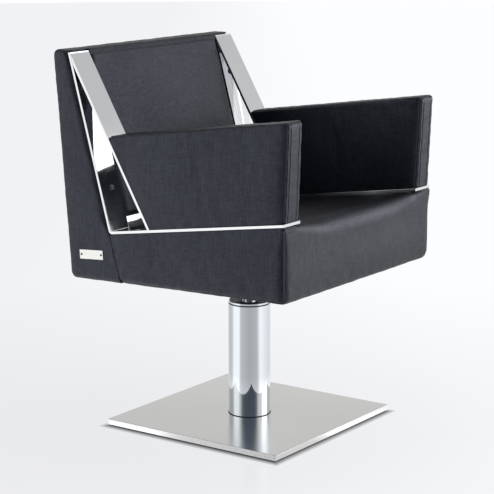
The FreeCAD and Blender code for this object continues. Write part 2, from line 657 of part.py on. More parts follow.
def arm_bolt(name, sign, back):
    """Bolt up through the strap into the arm core."""
    return countersunk(name, "arm_bolt", (sign + bar_mid_x, *on_strap(back, "0")), up_from_strap)


def strap_screw(name, sign, back):
    """Screw down through the strap into a side rail of the seat."""
    position = (sign + "dims.strap_screw_x", *on_strap(back, "dims.bar_thick"))
    return countersunk(name, "strap_screw", position, down_into_strap)


def leg_shank(name, sign, height):
    return rod(name, "dims.leg_screw_rad", "dims.leg_screw_long",
               (sign + "dims.leg_screw_x", *on_leg(height, "dims.bar_thick")), rearward)


def leg_screw(name, sign, height):
    """Raised-head screw rearward through the leg into a batten of the back."""
    crown = (sign + "dims.leg_screw_x",
             *on_leg(height, "dims.bar_thick + dims.leg_screw_dome"))
    return fused(name, [
        leg_shank(name + "_shank", sign, height),
        taper(name + "_head", "dims.leg_screw_head * dims.leg_screw_crown",
              "dims.leg_screw_head", "dims.leg_screw_dome", crown, rearward)])


# (distance of arm bolt along the strap, of strap screw, and of leg screw up the leg)
FASTENER_ROWS = (
    ("dims.arm_bolt_one", "dims.strap_screw_one", "dims.leg_screw_low"),
    ("dims.arm_bolt_two", "dims.strap_screw_two", "dims.leg_screw_mid"),
)

# ---------------------------------------------------------------- chromed side frames
BRACE_REAR = shift(BRACE, "-dims.bar_thick")
bent_bar = corners(LEG, UNDER, STRAP_END, STRAP_TOP, LEG_FRONT, LEG_TOP)
brace_bar = corners(BRACE, LEG_FRONT, BRACE_REAR, STRAP_TOP)


def at_bend(edge):
    """The outer edge of the bend, across the width of the bar."""
    start, end = edge.Vertexes[0], edge.Vertexes[-1]
    return (abs(start.X - end.X) > 50 and near(start.Y, SIZE["corner_y"], 0.5)
            and near(start.Z, SIZE["corner_z"], 0.5))


arm_bolts, strap_screws, leg_screws = [], [], []
drilled_rails, batten_tools, cover_tools = [], [], []
core_tools = {"left": [], "right": []}
for side, start, sign in SIDES:
    bar = prism("bar_" + side, bent_bar, start, "dims.bar_wide")
    round_edges(bar, "dims.bend_out", at_bend)
    bar_tools, rail_tools = [], []
    for i, (bolt_back, screw_back, screw_up) in enumerate(FASTENER_ROWS, start=1):
        tail = f"{side}{i}"
        arm_bolts.append(arm_bolt("arm_bolt_" + tail, sign, bolt_back))
        bar_tools.append(arm_bolt("arm_hole_" + tail, sign, bolt_back))
        core_tools[side].append(arm_bolt("core_hole_" + tail, sign, bolt_back))
        strap_screws.append(strap_screw("strap_screw_" + tail, sign, screw_back))
        bar_tools.append(strap_screw("strap_hole_" + tail, sign, screw_back))
        cover_tools.append(strap_screw("shell_strap_" + tail, sign, screw_back))
        rail_tools.append(strap_screw("rail_hole_" + tail, sign, screw_back))
        leg_screws.append(leg_screw("leg_screw_" + tail, sign, screw_up))
        bar_tools.append(leg_shank("leg_hole_" + tail, sign, screw_up))
        batten_tools.append(leg_shank("batten_hole_" + tail, sign, screw_up))
    keep(cut("side_frame_" + side, bar, fused("bar_holes_" + side, bar_tools)))
    drilled_rails.append(
        cut("rail_drilled_" + side, rails[side], fused("rail_holes_" + side, rail_tools)))
    keep(prism("arm_brace_" + side, brace_bar, start, "dims.bar_wide"))
keep(compound("seat_side_rails", drilled_rails))
# the seat cover is pierced where the strap screws pass through its top
keep(cut("seat_cover", seat_cover_plain, fused("cover_holes", cover_tools)))
keep(compound("arm_bolts", arm_bolts))
keep(compound("strap_screws", strap_screws))
keep(compound("leg_screws", leg_screws))
keep(wide_prism(
    "cross_rail",
    corners(LEG, across_leg("dims.rail_high"), LEG_FRONT, across_leg("dims.rail_low")), INNER_X))

# ---------------------------------------------------------------- arms
ARM_EDGE_Z = 600  # only the top edges of the arm lie above this


def arm_outline(bottom, inset):
    """Arm profile on a bottom line, its other three sides set in."""
    return corners(bottom, shift(ARM_FRONT, f"-{inset}"), shift(ARM_TOP, f"-{inset}"),
                   shift(BRACE, inset))


arm_outer_points = corners(STRAP_TOP, ARM_FRONT, ARM_TOP, BRACE)
arm_inner_points = arm_outline(shift(STRAP_TOP, "-dims.arm_overrun"), "dims.cover")
arm_foam_points = arm_outline(STRAP_TOP, "dims.cover")
arm_core_points = arm_outline(STRAP_TOP, "dims.arm_core_in")
arm_inner_wide = "dims.bar_wide - 2 * dims.cover"
for side, start, sign in SIDES:
    outer = prism("arm_outer_" + side, arm_outer_points, start, "dims.bar_wide")
    round_edges(outer, "dims.arm_round", every(lambda vertex: vertex.Z > ARM_EDGE_Z))
    inner_start = start + " + dims.cover"
    inner = prism("arm_inner_" + side, arm_inner_points, inner_start, arm_inner_wide)
    keep(cut("arm_cover_" + side, outer, inner))
    foam = prism("arm_foam_blank_" + side, arm_foam_points, inner_start, arm_inner_wide)
    core_start = start + " + (dims.bar_wide - dims.arm_core_thick) / 2"
    pocket = prism("arm_core_pocket_" + side, arm_core_points, core_start,
                   "dims.arm_core_thick")
    keep(cut("arm_foam_" + side, foam, pocket))
    core = prism("arm_core_blank_" + side, arm_core_points, core_start, "dims.arm_core_thick")
    keep(cut("arm_core_" + side, core, fused("core_holes_" + side, core_tools[side])))


# ---------------------------------------------------------------- screws of the blank plate
def tag_rod(name, sign, radius, length, outer_x):
    """Rod towards +X at one end of the plate; sign 1 is the rear end, -1 the front."""
    y = f"dims.tag_y + ({sign}) * dims.tag_screw_half * cos(dims.tag_tilt)"
    z = f"dims.tag_z - ({sign}) * dims.tag_screw_half * sin(dims.tag_tilt)"
    return rod(name, radius, length, (outer_x, y, z), "90", Y_AXIS)


def tag_shank(name, sign):
    return tag_rod(name + "_shank", sign, "dims.tag_screw_rad", "dims.tag_screw_long",
                   "-(dims.half_width + dims.tag_thick)")


def tag_screw(name, sign):
    shank = tag_shank(name, sign)
    head = tag_rod(name + "_head", sign, "dims.tag_screw_head", "dims.tag_screw_cap",
                   "-(dims.half_width + dims.tag_thick + dims.tag_screw_cap)")
    return fused(name, [head, shank])


def tag_pair(make, stem):
    return [make(stem + "1", 1), make(stem + "2", -1)]


# ---------------------------------------------------------------- back
IN_LEG = shift(LEG, "-dims.cover")
IN_TOP = shift(TOP, "-dims.cover")
IN_REAR = shift(REAR, "-dims.cover")
IN_SKIRT = shift(SKIRT, "dims.cover")
PANEL_FRONT = shift(LEG, "-dims.pad_depth")
PANEL_REAR = shift(LEG, "-(dims.pad_depth + dims.panel_thick)")
BATTEN_REAR = shift(LEG, "-dims.batten_deep")
REAR_PANEL_IN = shift(REAR, "-(dims.cover + dims.rear_panel)")
between_sides_x = "(dims.half_width - dims.cover - dims.wedge_side)"
REAR_EDGE_Y = 268  # edges wholly behind this bound the rear face of the back
FLOOR_EDGE_Y, FLOOR_EDGE_Z = 260, 348  # behind and below these: the floor board's low rear edge

on_rear_face = every(lambda vertex: vertex.Y > REAR_EDGE_Y)

wedge_outer = wide_prism("wedge_outer", corners(LEG, TOP, REAR, SKIRT), "dims.half_width")
round_edges(wedge_outer, "dims.wedge_round", on_rear_face)
wedge_points = corners(IN_LEG, IN_TOP, IN_REAR, IN_SKIRT)
wedge_inner = wide_prism("wedge_inner", wedge_points, COVERED_X)
round_edges(wedge_inner, "dims.wedge_round - dims.cover", on_rear_face)
# opening in the front and top of the cover for the back pad
wedge_opening = wide_prism(
    "wedge_opening",
    corners(shift(LEG, "dims.opening_overrun"), shift(TOP, "dims.opening_overrun"),
            PANEL_FRONT, across_leg("dims.pad_low")), INNER_X)
leg_screw_places = [(sign, row[2]) for _, _, sign in SIDES for row in FASTENER_ROWS]
wedge_voids = [wedge_inner, wedge_opening]
wedge_voids += [leg_shank(f"wedge_hole{i}", sign, height)
                for i, (sign, height) in enumerate(leg_screw_places)]
wedge_voids += tag_pair(tag_shank, "wedge_tag")
keep(cut("back_cover", wedge_outer, fused("wedge_voids", wedge_voids)))


def panel_edge(edge):
    """Edges round the outer face of a side panel, and across its rear corners."""
    crosswise = abs(edge.Vertexes[0].X - edge.Vertexes[1].X) > 5
    return every(at_side)(edge) or (on_rear_face(edge) and crosswise)


panel_left = prism("wedge_side_left", wedge_points, between_sides_x, "dims.wedge_side")
panel_right = prism("wedge_side_right", wedge_points, f"(-{COVERED_X})", "dims.wedge_side")
for panel in (panel_left, panel_right):
    round_edges(panel, "dims.board_round", panel_edge)
right_drilled = cut("wedge_side_drilled", panel_right,
                    fused("side_tags", tag_pair(tag_shank, "side_tag")))
keep(compound("back_side_panels", [panel_left, right_drilled]))

batten_points = corners(IN_LEG, IN_TOP, BATTEN_REAR, IN_SKIRT)
batten_wide = "(dims.bar_wide - dims.cover - dims.wedge_side)"
battens = fused("battens_blank", [
    prism("batten_left", batten_points, INNER_X, batten_wide),
    prism("batten_right", batten_points, f"(-{between_sides_x})", batten_wide)])
keep(cut("back_battens", battens, fused("batten_holes", batten_tools)))

keep(wide_prism("back_panel", corners(PANEL_FRONT, IN_TOP, PANEL_REAR, IN_SKIRT), INNER_X))
# the rear panel stops short of the rounded corners of the side panels
keep(wide_prism(
    "back_rear_panel",
    corners(IN_REAR, shift(IN_TOP, "-(dims.board_round + dims.rear_panel_gap)"),
            REAR_PANEL_IN, shift(IN_SKIRT, "dims.board_round + dims.rear_panel_gap")),
    between_sides_x))
floor_board = wide_prism(
    "back_floor_board",
    corners(BATTEN_REAR, shift(IN_SKIRT, "dims.wedge_floor"), REAR_PANEL_IN, IN_SKIRT),
    between_sides_x)
round_edges(floor_board, "dims.floor_round",
            every(lambda vertex: vertex.Y > FLOOR_EDGE_Y and vertex.Z < FLOOR_EDGE_Z))
keep(floor_board)

# ---------------------------------------------------------------- back pad
pad_half = f"({INNER_X} - dims.pad_gap)"
foam_half = f"({pad_half} - dims.cover)"
PAD_FRONT = shift(LEG, "dims.pad_proud")
PAD_FRONT_IN = shift(LEG, "dims.pad_proud - dims.cover")
FOAM_LOW = across_leg("dims.pad_low + dims.pad_gap + dims.cover")
leg_corner = Vector(0, SIZE["corner_y"], SIZE["corner_z"])
leg_normal = FreeCAD.Rotation(X_AXIS, 180 - SIZE["leg_lean"]).multVec(Y_AXIS)


def on_pad_front(vertex):
    return near((vertex.Point - leg_corner).dot(leg_normal), SIZE["pad_proud"])


pad_outer = wide_prism(
    "pad_outer",
    corners(PAD_FRONT, TOP, PANEL_FRONT, across_leg("dims.pad_low + dims.pad_gap")), pad_half)
round_edges(pad_outer, "dims.pad_round", every(on_pad_front))
pad_inner = wide_prism(
    "pad_inner",
    corners(PAD_FRONT_IN, IN_TOP, shift(PANEL_FRONT, "-dims.overrun_long"), FOAM_LOW), foam_half)
keep(cut("back_pad", pad_outer, pad_inner))
keep(wide_prism("back_foam", corners(PAD_FRONT_IN, IN_TOP, PANEL_FRONT, FOAM_LOW), foam_half))

# ---------------------------------------------------------------- blank plate
tag = doc.addObject("Part::Box", "tag_blank")
tag.setExpression("Length", "dims.tag_thick")
tag.setExpression("Width", "dims.tag_long")
tag.setExpression("Height", "dims.tag_tall")
place(tag, (
    "-(dims.half_width + dims.tag_thick)",
    "dims.tag_y - dims.tag_long / 2 * cos(dims.tag_tilt) - dims.tag_tall / 2 * sin(dims.tag_tilt)",
    "dims.tag_z + dims.tag_long / 2 * sin(dims.tag_tilt) - dims.tag_tall / 2 * cos(dims.tag_tilt)",
), "-dims.tag_tilt")
keep(cut("tag_plate", tag, fused("tag_holes", tag_pair(tag_shank, "tag_hole"))))
keep(compound("tag_screws", tag_pair(tag_screw, "tag_screw")))

# ---------------------------------------------------------------- export
doc.recompute()
bad = [obj.Label for obj in doc.Objects if set(obj.State) & {"Invalid", "Error"}]
assert not bad, bad
for obj in parts:
    assert not obj.Shape.isNull() and obj.Shape.isValid(), obj.Label
    assert obj.Shape.Solids and all(solid.Volume > 0 for solid in obj.Shape.Solids), obj.Label
for old in os.listdir("parts"):
    os.remove(os.path.join("parts", old))
for obj in parts:
    obj.Shape.exportStep(f"parts/{obj.Label}.step")
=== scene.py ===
"""A padded armchair on a pump column, with a wedge-shaped back, chromed strap frame,
foot pedal and square floor plate.

Metres, +Z up. The floor is z = 0 and the column stands on the Z axis. The seat faces -Y and
the chair's left is +X. Side profiles are drawn in the Y-Z plane.
"""
import itertools
import math
from collections import namedtuple

import bmesh
import bpy
import numpy as np
from mathutils import Matrix, Vector


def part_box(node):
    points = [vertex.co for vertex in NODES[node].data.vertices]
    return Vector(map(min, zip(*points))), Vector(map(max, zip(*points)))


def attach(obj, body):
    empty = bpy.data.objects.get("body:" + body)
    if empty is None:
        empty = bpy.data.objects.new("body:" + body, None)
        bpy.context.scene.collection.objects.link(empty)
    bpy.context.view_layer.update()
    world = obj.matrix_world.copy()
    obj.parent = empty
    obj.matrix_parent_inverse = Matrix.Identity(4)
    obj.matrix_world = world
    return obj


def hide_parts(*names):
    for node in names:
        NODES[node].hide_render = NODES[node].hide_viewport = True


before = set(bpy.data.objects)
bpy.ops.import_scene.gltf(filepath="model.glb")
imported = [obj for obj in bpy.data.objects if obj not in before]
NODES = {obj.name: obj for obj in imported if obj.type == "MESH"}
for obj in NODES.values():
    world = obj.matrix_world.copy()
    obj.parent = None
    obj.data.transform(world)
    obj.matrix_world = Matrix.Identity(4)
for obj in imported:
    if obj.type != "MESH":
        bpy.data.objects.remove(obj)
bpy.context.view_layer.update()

ON_FACE = 1e-6      # a point closer to a face than this lies on it


def box_of(node):
    low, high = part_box(node)
    return [float(v) for v in low], [float(v) for v in high]


# ------------------------------------------------------------------ shader nodes
def grey(value):
    return (value, value, value)


def scaled(color, factor):
    return tuple(min(1, c * factor) for c in color)


class Shader:
    """Adds nodes to an emptied tree. Any input may be a plain value or another node's socket."""

    def __init__(self, tree):
        self.tree = tree
        tree.nodes.clear()

    def connect(self, socket, value):
        if isinstance(value, bpy.types.NodeSocket):
            self.tree.links.new(value, socket)
        else:
            socket.default_value = value

    def feed(self, node, **inputs):
        for name, value in inputs.items():
            self.connect(node.inputs[name.replace("_", " ")], value)

    def node(self, kind, **inputs):
        made = self.tree.nodes.new("ShaderNode" + kind)
        self.feed(made, **inputs)
        return made

    def coords(self, stretch=(1, 1, 1)):
        """Object coordinates, scaled along each axis."""
        source = self.node("TexCoord").outputs["Object"]
        return self.node("Mapping", Vector=source, Scale=stretch).outputs[0]

    def noise(self, vector, scale=1.0, detail=3, roughness=0.5):
        return self.node("TexNoise", Vector=vector, Scale=scale, Detail=detail,
                         Roughness=roughness).outputs["Fac"]

    def voronoi(self, vector, scale, feature="DISTANCE_TO_EDGE"):
        made = self.node("TexVoronoi", Vector=vector, Scale=scale)
        made.feature = feature
        return made.outputs["Distance"]

    def wave(self, direction, scale, distortion=0.0):
        made = self.node("TexWave", Vector=self.coords(), Scale=scale, Distortion=distortion)
        made.wave_type = "BANDS"
        made.bands_direction = direction
        return made

    def remap(self, value, span, to):
        return self.node("MapRange", Value=value, From_Min=span[0], From_Max=span[1],
                         To_Min=to[0], To_Max=to[1]).outputs[0]

    def ramp(self, value, stops):
        """Colour ramp from (position, colour) stops."""
        made = self.node("ValToRGB", Fac=value)
        elements = made.color_ramp.elements
        while len(elements) > 1:
            elements.remove(elements[-1])
        elements[0].position, elements[0].color = stops[0][0], (*stops[0][1], 1)
        for position, color in stops[1:]:
            elements.new(position).color = (*color, 1)
        return made.outputs["Color"]

    def operate(self, kind, operation, *operands):
        made = self.node(kind)
        made.operation = operation
        for k, operand in enumerate(operands):
            self.connect(made.inputs[k], operand)
        return made.outputs["Value"]

    def math(self, operation, *operands):
        return self.operate("Math", operation, *operands)

    def add(self, first, second):
        return self.math("ADD", first, second)

    def multiply(self, first, second):
        return self.math("MULTIPLY", first, second)

    def weighted_sum(self, *terms):
        """Sum of (value, weight) terms."""
        total = None
        for value, weight in terms:
            term = self.multiply(value, weight)
            total = term if total is None else self.add(total, term)
        return total

    def mix_color(self, blend, amount, base, other):
        made = self.node("MixRGB", Fac=amount, Color1=base, Color2=other)
        made.blend_type = blend
        return made.outputs[0]

    def mix_shader(self, amount, first, second):
        made = self.node("MixShader")
        for k, value in enumerate((amount, first, second)):
            self.connect(made.inputs[k], value)
        return made.outputs[0]

    def bump(self, height, distance, strength, **under):
        """Surface normal; Normal=socket puts this relief on top of another."""
        return self.node("Bump", Height=height, Distance=distance, Strength=strength,
                         **under).outputs[0]


# ------------------------------------------------------------------ materials
def new_material(name):
    material = bpy.data.materials.new(name)
    material.use_nodes = True
    sh = Shader(material.node_tree)
    out = sh.node("OutputMaterial")
    bsdf = sh.node("BsdfPrincipled")
    sh.feed(out, Surface=bsdf.outputs[0])
    return material, sh, bsdf


def leather_material(name, tone, rough, level):
    """Near-black leatherette; tone scales its colour, level its reflection seen face on."""
    material, sh, bsdf = new_material(name)
    obj = sh.coords()
    cloud = sh.noise(obj, scale=5, detail=4)
    fine_z = sh.noise(sh.coords((60, 60, 900)), roughness=0.6)
    fine_y = sh.noise(sh.coords((60, 900, 60)), roughness=0.6)
    upright = sh.noise(sh.coords((340, 340, 34)), roughness=0.55)
    level_streak = sh.noise(sh.coords((60, 60, 330)), roughness=0.55)
    weave = sh.weighted_sum((upright, 0.55), (level_streak, 0.45))
    weave_span = (0.35, 0.65)
    pores = sh.voronoi(obj, scale=620)
    wrinkle = sh.voronoi(sh.coords((1, 1.4, 0.8)), scale=260)

    base = sh.ramp(cloud, [(0.25, scaled((0.0022, 0.0023, 0.0031), tone)),
                           (0.75, scaled((0.0042, 0.0043, 0.0056), tone))])
    threads = sh.ramp(weave, [(0.35, grey(0.55)), (0.65, (1.4, 1.4, 1.45))])
    facing = sh.node("LayerWeight", Blend=0.5).outputs["Facing"]
    reflection = sh.remap(facing, (0.45, 0.85), to=(level, level * 0.30))
    sh.feed(
        bsdf,
        Base_Color=sh.mix_color("MULTIPLY", 0.8, base, threads),
        Roughness=sh.add(sh.remap(cloud, (0.3, 0.7), to=(rough - 0.05, rough + 0.05)),
                         sh.remap(weave, weave_span, to=(0.06, -0.06))),
        Specular_IOR_Level=sh.multiply(reflection, sh.remap(weave, weave_span, to=(0.84, 1.17))),
        Specular_Tint=(0.72, 0.785, 1.0, 1), Sheen_Weight=0.01, Sheen_Roughness=0.4)

    relief = sh.weighted_sum((sh.remap(pores, (0.0, 0.25), to=(0.0, 1.0)), 0.4),
                             (sh.remap(wrinkle, (0.0, 0.2), to=(0.0, 1.0)), 0.25),
                             (fine_z, 0.55), (fine_y, 0.45), (weave, 1.3))
    swell = sh.bump(sh.noise(obj, scale=14, detail=2), distance=0.004, strength=0.30)
    sh.feed(bsdf, Normal=sh.bump(relief, distance=0.00035, strength=0.8, Normal=swell))
    return material


def chrome_material(name, base, rough):
    material, sh, bsdf = new_material(name)
    obj = sh.coords()
    smear = sh.noise(obj, scale=9, detail=4)
    scratch = sh.noise(sh.coords((30, 900, 30)), detail=2)
    sh.feed(
        bsdf, Metallic=1.0,
        Base_Color=sh.ramp(smear, [(0.3, scaled(base, 0.96)), (0.7, base)]),
        Roughness=sh.add(sh.remap(smear, (0.3, 0.75), to=(rough - 0.02, rough + 0.025)),
                         sh.remap(scratch, (0.55, 0.8), to=(0.0, 0.03))),
        Normal=sh.bump(sh.noise(obj, scale=22, detail=1), distance=0.00012, strength=0.25))
    return material


def brushed_material(name, base, rough, along, anisotropic=0.55, groove=1.0, vary=1.0,
                     metallic=1.0):
    """Brushed metal. along marks the axis of the lines, groove scales their depth and
    vary their contrast."""
    material, sh, bsdf = new_material(name)
    lines = sh.noise(sh.coords(tuple(6.0 if a else 700.0 for a in along)), detail=4,
                     roughness=0.65)
    cloud = sh.noise(sh.coords(), scale=4)
    color = sh.ramp(lines, [(0.3, scaled(base, 1 - 0.14 * vary)),
                            (0.7, scaled(base, 1 + 0.08 * vary))])
    shade = sh.ramp(cloud, [(0.3, grey(0.9)), (0.7, (1.05, 1.05, 1.04))])
    line_rough = sh.remap(lines, (0.3, 0.7), to=(rough - 0.05 * vary, rough + 0.06 * vary))
    sh.feed(
        bsdf, Metallic=metallic, Anisotropic=anisotropic,
        Base_Color=sh.mix_color("MULTIPLY", 0.5, color, shade),
        Roughness=sh.add(line_rough, sh.remap(cloud, (0.3, 0.7), to=(-0.03, 0.03))),
        Normal=sh.bump(lines, distance=0.00006 * groove, strength=0.5))
    return material


def plain_material(name, base, rough, grain, depth, metallic=0.0):
    """Even colour with a fine grain; grain is its frequency and depth its relief."""
    material, sh, bsdf = new_material(name)
    obj = sh.coords()
    cloud = sh.noise(obj, scale=18, detail=4)
    grains = sh.noise(obj, scale=grain)
    vary = 0.15
    sh.feed(
        bsdf, Metallic=metallic,
        Base_Color=sh.ramp(cloud, [(0.3, scaled(base, 1 - vary)), (0.7, scaled(base, 1 + vary))]),
        Roughness=sh.add(sh.remap(cloud, (0.3, 0.7), to=(rough - 0.06, rough + 0.06)),
                         sh.remap(grains, (0.3, 0.7), to=(-0.03, 0.03))),
        Normal=sh.bump(grains, distance=depth, strength=0.6))
    return material


def wood_material():
    material, sh, bsdf = new_material("plywood_ply")
    grain = sh.noise(sh.coords((12, 90, 260)), detail=5, roughness=0.6)
    plies = sh.wave("Z", scale=160, distortion=0.6).outputs["Color"]
    color = sh.ramp(grain, [(0.25, (0.38, 0.24, 0.13)), (0.55, (0.62, 0.44, 0.27)),
                            (0.8, (0.74, 0.57, 0.38))])
    sh.feed(
        bsdf,
        Base_Color=sh.mix_color("MULTIPLY", 0.35, color, plies),
        Roughness=sh.remap(grain, (0.3, 0.7), to=(0.5, 0.7)),
        Normal=sh.bump(grain, distance=0.0003, strength=0.5))
    return material


def foam_material():
    material, sh, bsdf = new_material("open_foam")
    cells = sh.voronoi(sh.coords(), scale=500, feature="F1")
    sh.feed(
        bsdf, Roughness=0.95,
        Base_Color=sh.ramp(cells, [(0.0, (0.55, 0.50, 0.33)), (0.6, (0.85, 0.80, 0.60))]),
        Normal=sh.bump(cells, distance=0.0008, strength=0.9))
    return material


def cloth_material(name, base):
    material, sh, bsdf = new_material(name)
    threads = sh.multiply(sh.wave("X", scale=260).outputs["Fac"],
                          sh.wave("Y", scale=260).outputs["Fac"])
    sh.feed(
        bsdf, Roughness=0.9,
        Base_Color=sh.ramp(threads, [(0.0, scaled(base, 0.5)), (0.8, base)]),
        Normal=sh.bump(threads, distance=0.0004, strength=0.7))
    return material


LEATHER = leather_material("leatherette", tone=1.0, rough=0.42, level=0.63)
# lighter copy of the leatherette for the welt cords: the lighter colour is a painted highlight,
# the gloss is real
SEAM_HIGHLIT = leather_material("leather_welt_painted_highlight", tone=1.3, rough=0.33, level=0.80)
# darker copy of the leatherette for the back pad's top band: the darker colour is painted shade
BAND_SHADED = leather_material("leather_band_painted_shade", tone=0.7, rough=0.42, level=0.50)
CHROME = chrome_material("chrome_mirror", (0.80, 0.81, 0.83), rough=0.045)
COLUMN = chrome_material("chrome_column", (0.755, 0.80, 0.84), rough=0.05)
SATIN = brushed_material("stainless_satin", (0.69, 0.69, 0.675), rough=0.19, along=(1, 0, 0),
                         anisotropic=0.4, groove=0.30, vary=0.4)
EDGE = brushed_material("stainless_polished", (0.95, 0.95, 0.95), rough=0.26, along=(1, 0, 0),
                        anisotropic=0.3, groove=0.4, metallic=0.45)
STEEL = brushed_material("machined_steel", (0.55, 0.55, 0.56), rough=0.25, along=(0, 0, 1))
ZINC = plain_material("zinc_plated", (0.62, 0.62, 0.58), rough=0.32, metallic=1.0,
                      grain=500, depth=0.0001)
BLACKSTEEL = plain_material("black_powder", (0.02, 0.02, 0.021), rough=0.42,
                            grain=900, depth=0.0002)
IRON = plain_material("cast_iron_grey", (0.09, 0.09, 0.095), rough=0.6, metallic=0.8,
                      grain=350, depth=0.0004)
BRONZE = brushed_material("bush_bronze", (0.62, 0.42, 0.18), rough=0.28, along=(0, 0, 1))
RUBBER = plain_material("black_rubber", (0.016, 0.016, 0.016), rough=0.75,
                        grain=700, depth=0.0003)
PLASTIC = plain_material("black_plastic", (0.012, 0.012, 0.013), rough=0.35,
                         grain=600, depth=0.0001)
WOOD = wood_material()
FOAM = foam_material()
LINING = cloth_material("black_lining", (0.02, 0.02, 0.02))
TAG = brushed_material("plate_satin", (0.84, 0.84, 0.82), rough=0.30, along=(0, 1, 0))
DARKSCREW = plain_material("blackened_screw", (0.10, 0.10, 0.11), rough=0.30, metallic=1.0,
                           grain=500, depth=0.0001)

# material -> the CAD pieces made of it
USE = (
    (RUBBER, "floor_mat wiper_seal ram_seal"),
    (IRON, "ballast_plate pump_base"),
    (ZINC, "pump_bolts keeper_washer keeper_screw seat_bolts t_nuts arm_bolts strap_screws"),
    (STEEL, "pressure_cylinder pump_head pedal_pin pump_plunger"),
    (BLACKSTEEL, "reservoir_tube swivel_hub seat_mount_plate"),
    (BRONZE, "guide_bush thrust_washer swivel_bush"),
    (COLUMN, "column_shroud column_cap"),
    (PLASTIC, "column_ring"),
    (CHROME, "pedal_lever lift_ram side_frame_left side_frame_right arm_brace_left "
             "arm_brace_right cross_rail"),
    (WOOD, "seat_cross_rails seat_side_rails seat_board arm_core_left arm_core_right "
           "back_side_panels back_battens back_panel back_rear_panel back_floor_board"),
    (FOAM, "seat_foam arm_foam_left arm_foam_right back_foam"),
    (LINING, "dust_cover"),
    (SATIN, "base_cover"),
)
for material, names in USE:
    for name in names.split():
        slots = NODES[name].data.materials
        slots.clear()
        slots.append(material)

# bevel width -> metal pieces whose facets are welded and edges slightly rounded
ROUNDED_METAL = (
    (0.0007, "side_frame_left side_frame_right arm_brace_left arm_brace_right cross_rail"),
    (0.0008, "pedal_lever seat_mount_plate swivel_hub ballast_plate"),
)
for width, names in ROUNDED_METAL:
    for name in names.split():
        weld = NODES[name].modifiers.new("weld", "WELD")
        weld.merge_threshold = 0.00002
        bevel = NODES[name].modifiers.new("edge", "BEVEL")
        bevel.width = width
        bevel.segments = 2
        bevel.limit_method = "ANGLE"
        bevel.angle_limit = math.radians(40)
        bevel.harden_normals = True


# ------------------------------------------------------------------ side profile of the chair
def line_at(normal_angle, y, z):
    """Line through (y, z) in the side view: its unit normal, in degrees from +Y towards +Z,
    and its offset along that normal."""
    angle = math.radians(normal_angle)
    normal = (math.cos(angle), math.sin(angle))
    return normal, normal[0] * y + normal[1] * z


def moved(line, by):
    return line[0], line[1] + by


def crossing(first, second):
    (n1, c1), (n2, c2) = first, second
    det = n1[0] * n2[1] - n1[1] * n2[0]
    return ((c1 * n2[1] - c2 * n1[1]) / det, (c2 * n1[0] - c1 * n2[0]) / det)


BEND = (0.1583, 0.4483)         # y, z where the seat top meets the front line of the back
LEG_LEAN = 15.5                 # degrees the back leans from upright
ARM_CORNER = (-0.295, 0.720)    # y, z of the arms' upper front corner
FRONT_Y = -0.289
SEAT_TOP = line_at(90 - 8.1, *BEND)
LEG = line_at(180 - LEG_LEAN, *BEND)
LEG_SQUARE = line_at(90 - LEG_LEAN, *BEND)      # square across the leg, at the bend
BRACE = line_at(180 - 30.2, 0.2582, 0.8275)
ARM_TOP = line_at(90 - 7.9, *ARM_CORNER)
ARM_FRONT = line_at(180 + 2.5, *ARM_CORNER)
SEAT_FRONT = line_at(180, FRONT_Y, 0)
SKIRT = line_at(90 - 1.32, FRONT_Y, 0.3536)
REAR = line_at(-4.55, 0.272, 0.341)
BACK_TOP = line_at(90, 0, 0.831)
HALF = 0.287                    # half the chair's width
BAR = 0.060                     # strap width, which is also the arm width
STRAP = 0.006                   # strap thickness
STRAP_TOP = moved(SEAT_TOP, STRAP)

# small plate on the -X side of the back
PLATE_Y, PLATE_Z = 0.2085, 0.399
PLATE_TILT = math.radians(4)


# ------------------------------------------------------------------ mesh helpers
def stations(length, step, ends):
    """Fractions of length: close together at both ends as listed, step apart in between."""
    near = [e for e in ends if e < length / 2 - step * 0.5]
    first, last = near[-1], length - near[-1]
    count = max(1, int(round((last - first) / step)))
    middle = [first + (last - first) * i / count for i in range(1, count)]
    return np.array(near + middle + [length - e for e in reversed(near)]) / length


def smoothstep(x, low, high):
    t = np.clip((x - low) / (high - low), 0, 1)
    return t * t * (3 - 2 * t)


def value_noise(points, scale, seed):
    """Smooth repeatable noise, mostly within -1..1."""
    rng = np.random.RandomState(seed)
    out = np.zeros(len(points))
    for _ in range(10):
        direction = rng.normal(size=3)
        direction /= np.linalg.norm(direction)
        frequency = scale * (0.6 + 0.8 * rng.rand())
        out += np.sin(points @ direction * frequency * 2 * math.pi + rng.rand() * 6.283)
    return out / 4.0


def normals_of(verts, faces):
    a, b, c, d = (verts[faces[:, k]] for k in range(4))
    face_normals = np.cross(c - a, d - b)
    out = np.zeros_like(verts)
    for k in range(4):
        np.add.at(out, faces[:, k], face_normals)
    return out / np.maximum(np.linalg.norm(out, axis=1), 1e-12)[:, None]


def make_mesh(name, verts, faces):
    mesh = bpy.data.meshes.new(name)
    mesh.from_pydata([tuple(v) for v in verts], [], [tuple(int(i) for i in f) for f in faces])
    mesh.update()
    return link_object(name, mesh)


def link_object(name, data):
    ob = bpy.data.objects.new(name, data)
    bpy.context.scene.collection.objects.link(ob)
    return ob


def finish_piece(ob, materials, body, replaced, smooth=True):
    for material in materials:
        ob.data.materials.append(material)
    if smooth:
        ob.data.shade_smooth()
    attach(ob, body)
    if replaced:
        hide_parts(replaced)


def merge(parts):
    """Join (verts, faces) parts, and tell which part each face came from."""
    verts, faces, owner = [], [], []
    for k, (part_verts, part_faces) in enumerate(parts):
        base = len(verts)
        verts.extend(part_verts)
        faces.extend([tuple(int(i) + base for i in face) for face in part_faces])
        owner.extend([k] * len(part_faces))
    return verts, faces, owner


def build_piece(name, parts, material, body, replaced, smooth=True):
    verts, faces, _ = merge(parts)
    finish_piece(make_mesh(name, verts, faces), [material], body, replaced, smooth)


def place(part, matrix):
    verts, faces = part
    return [tuple(matrix @ Vector(v)) for v in verts], faces


def circle(radius, z, count):
    turns = [2 * math.pi * k / count for k in range(count)]
    return [(radius * math.cos(t), radius * math.sin(t), z) for t in turns]


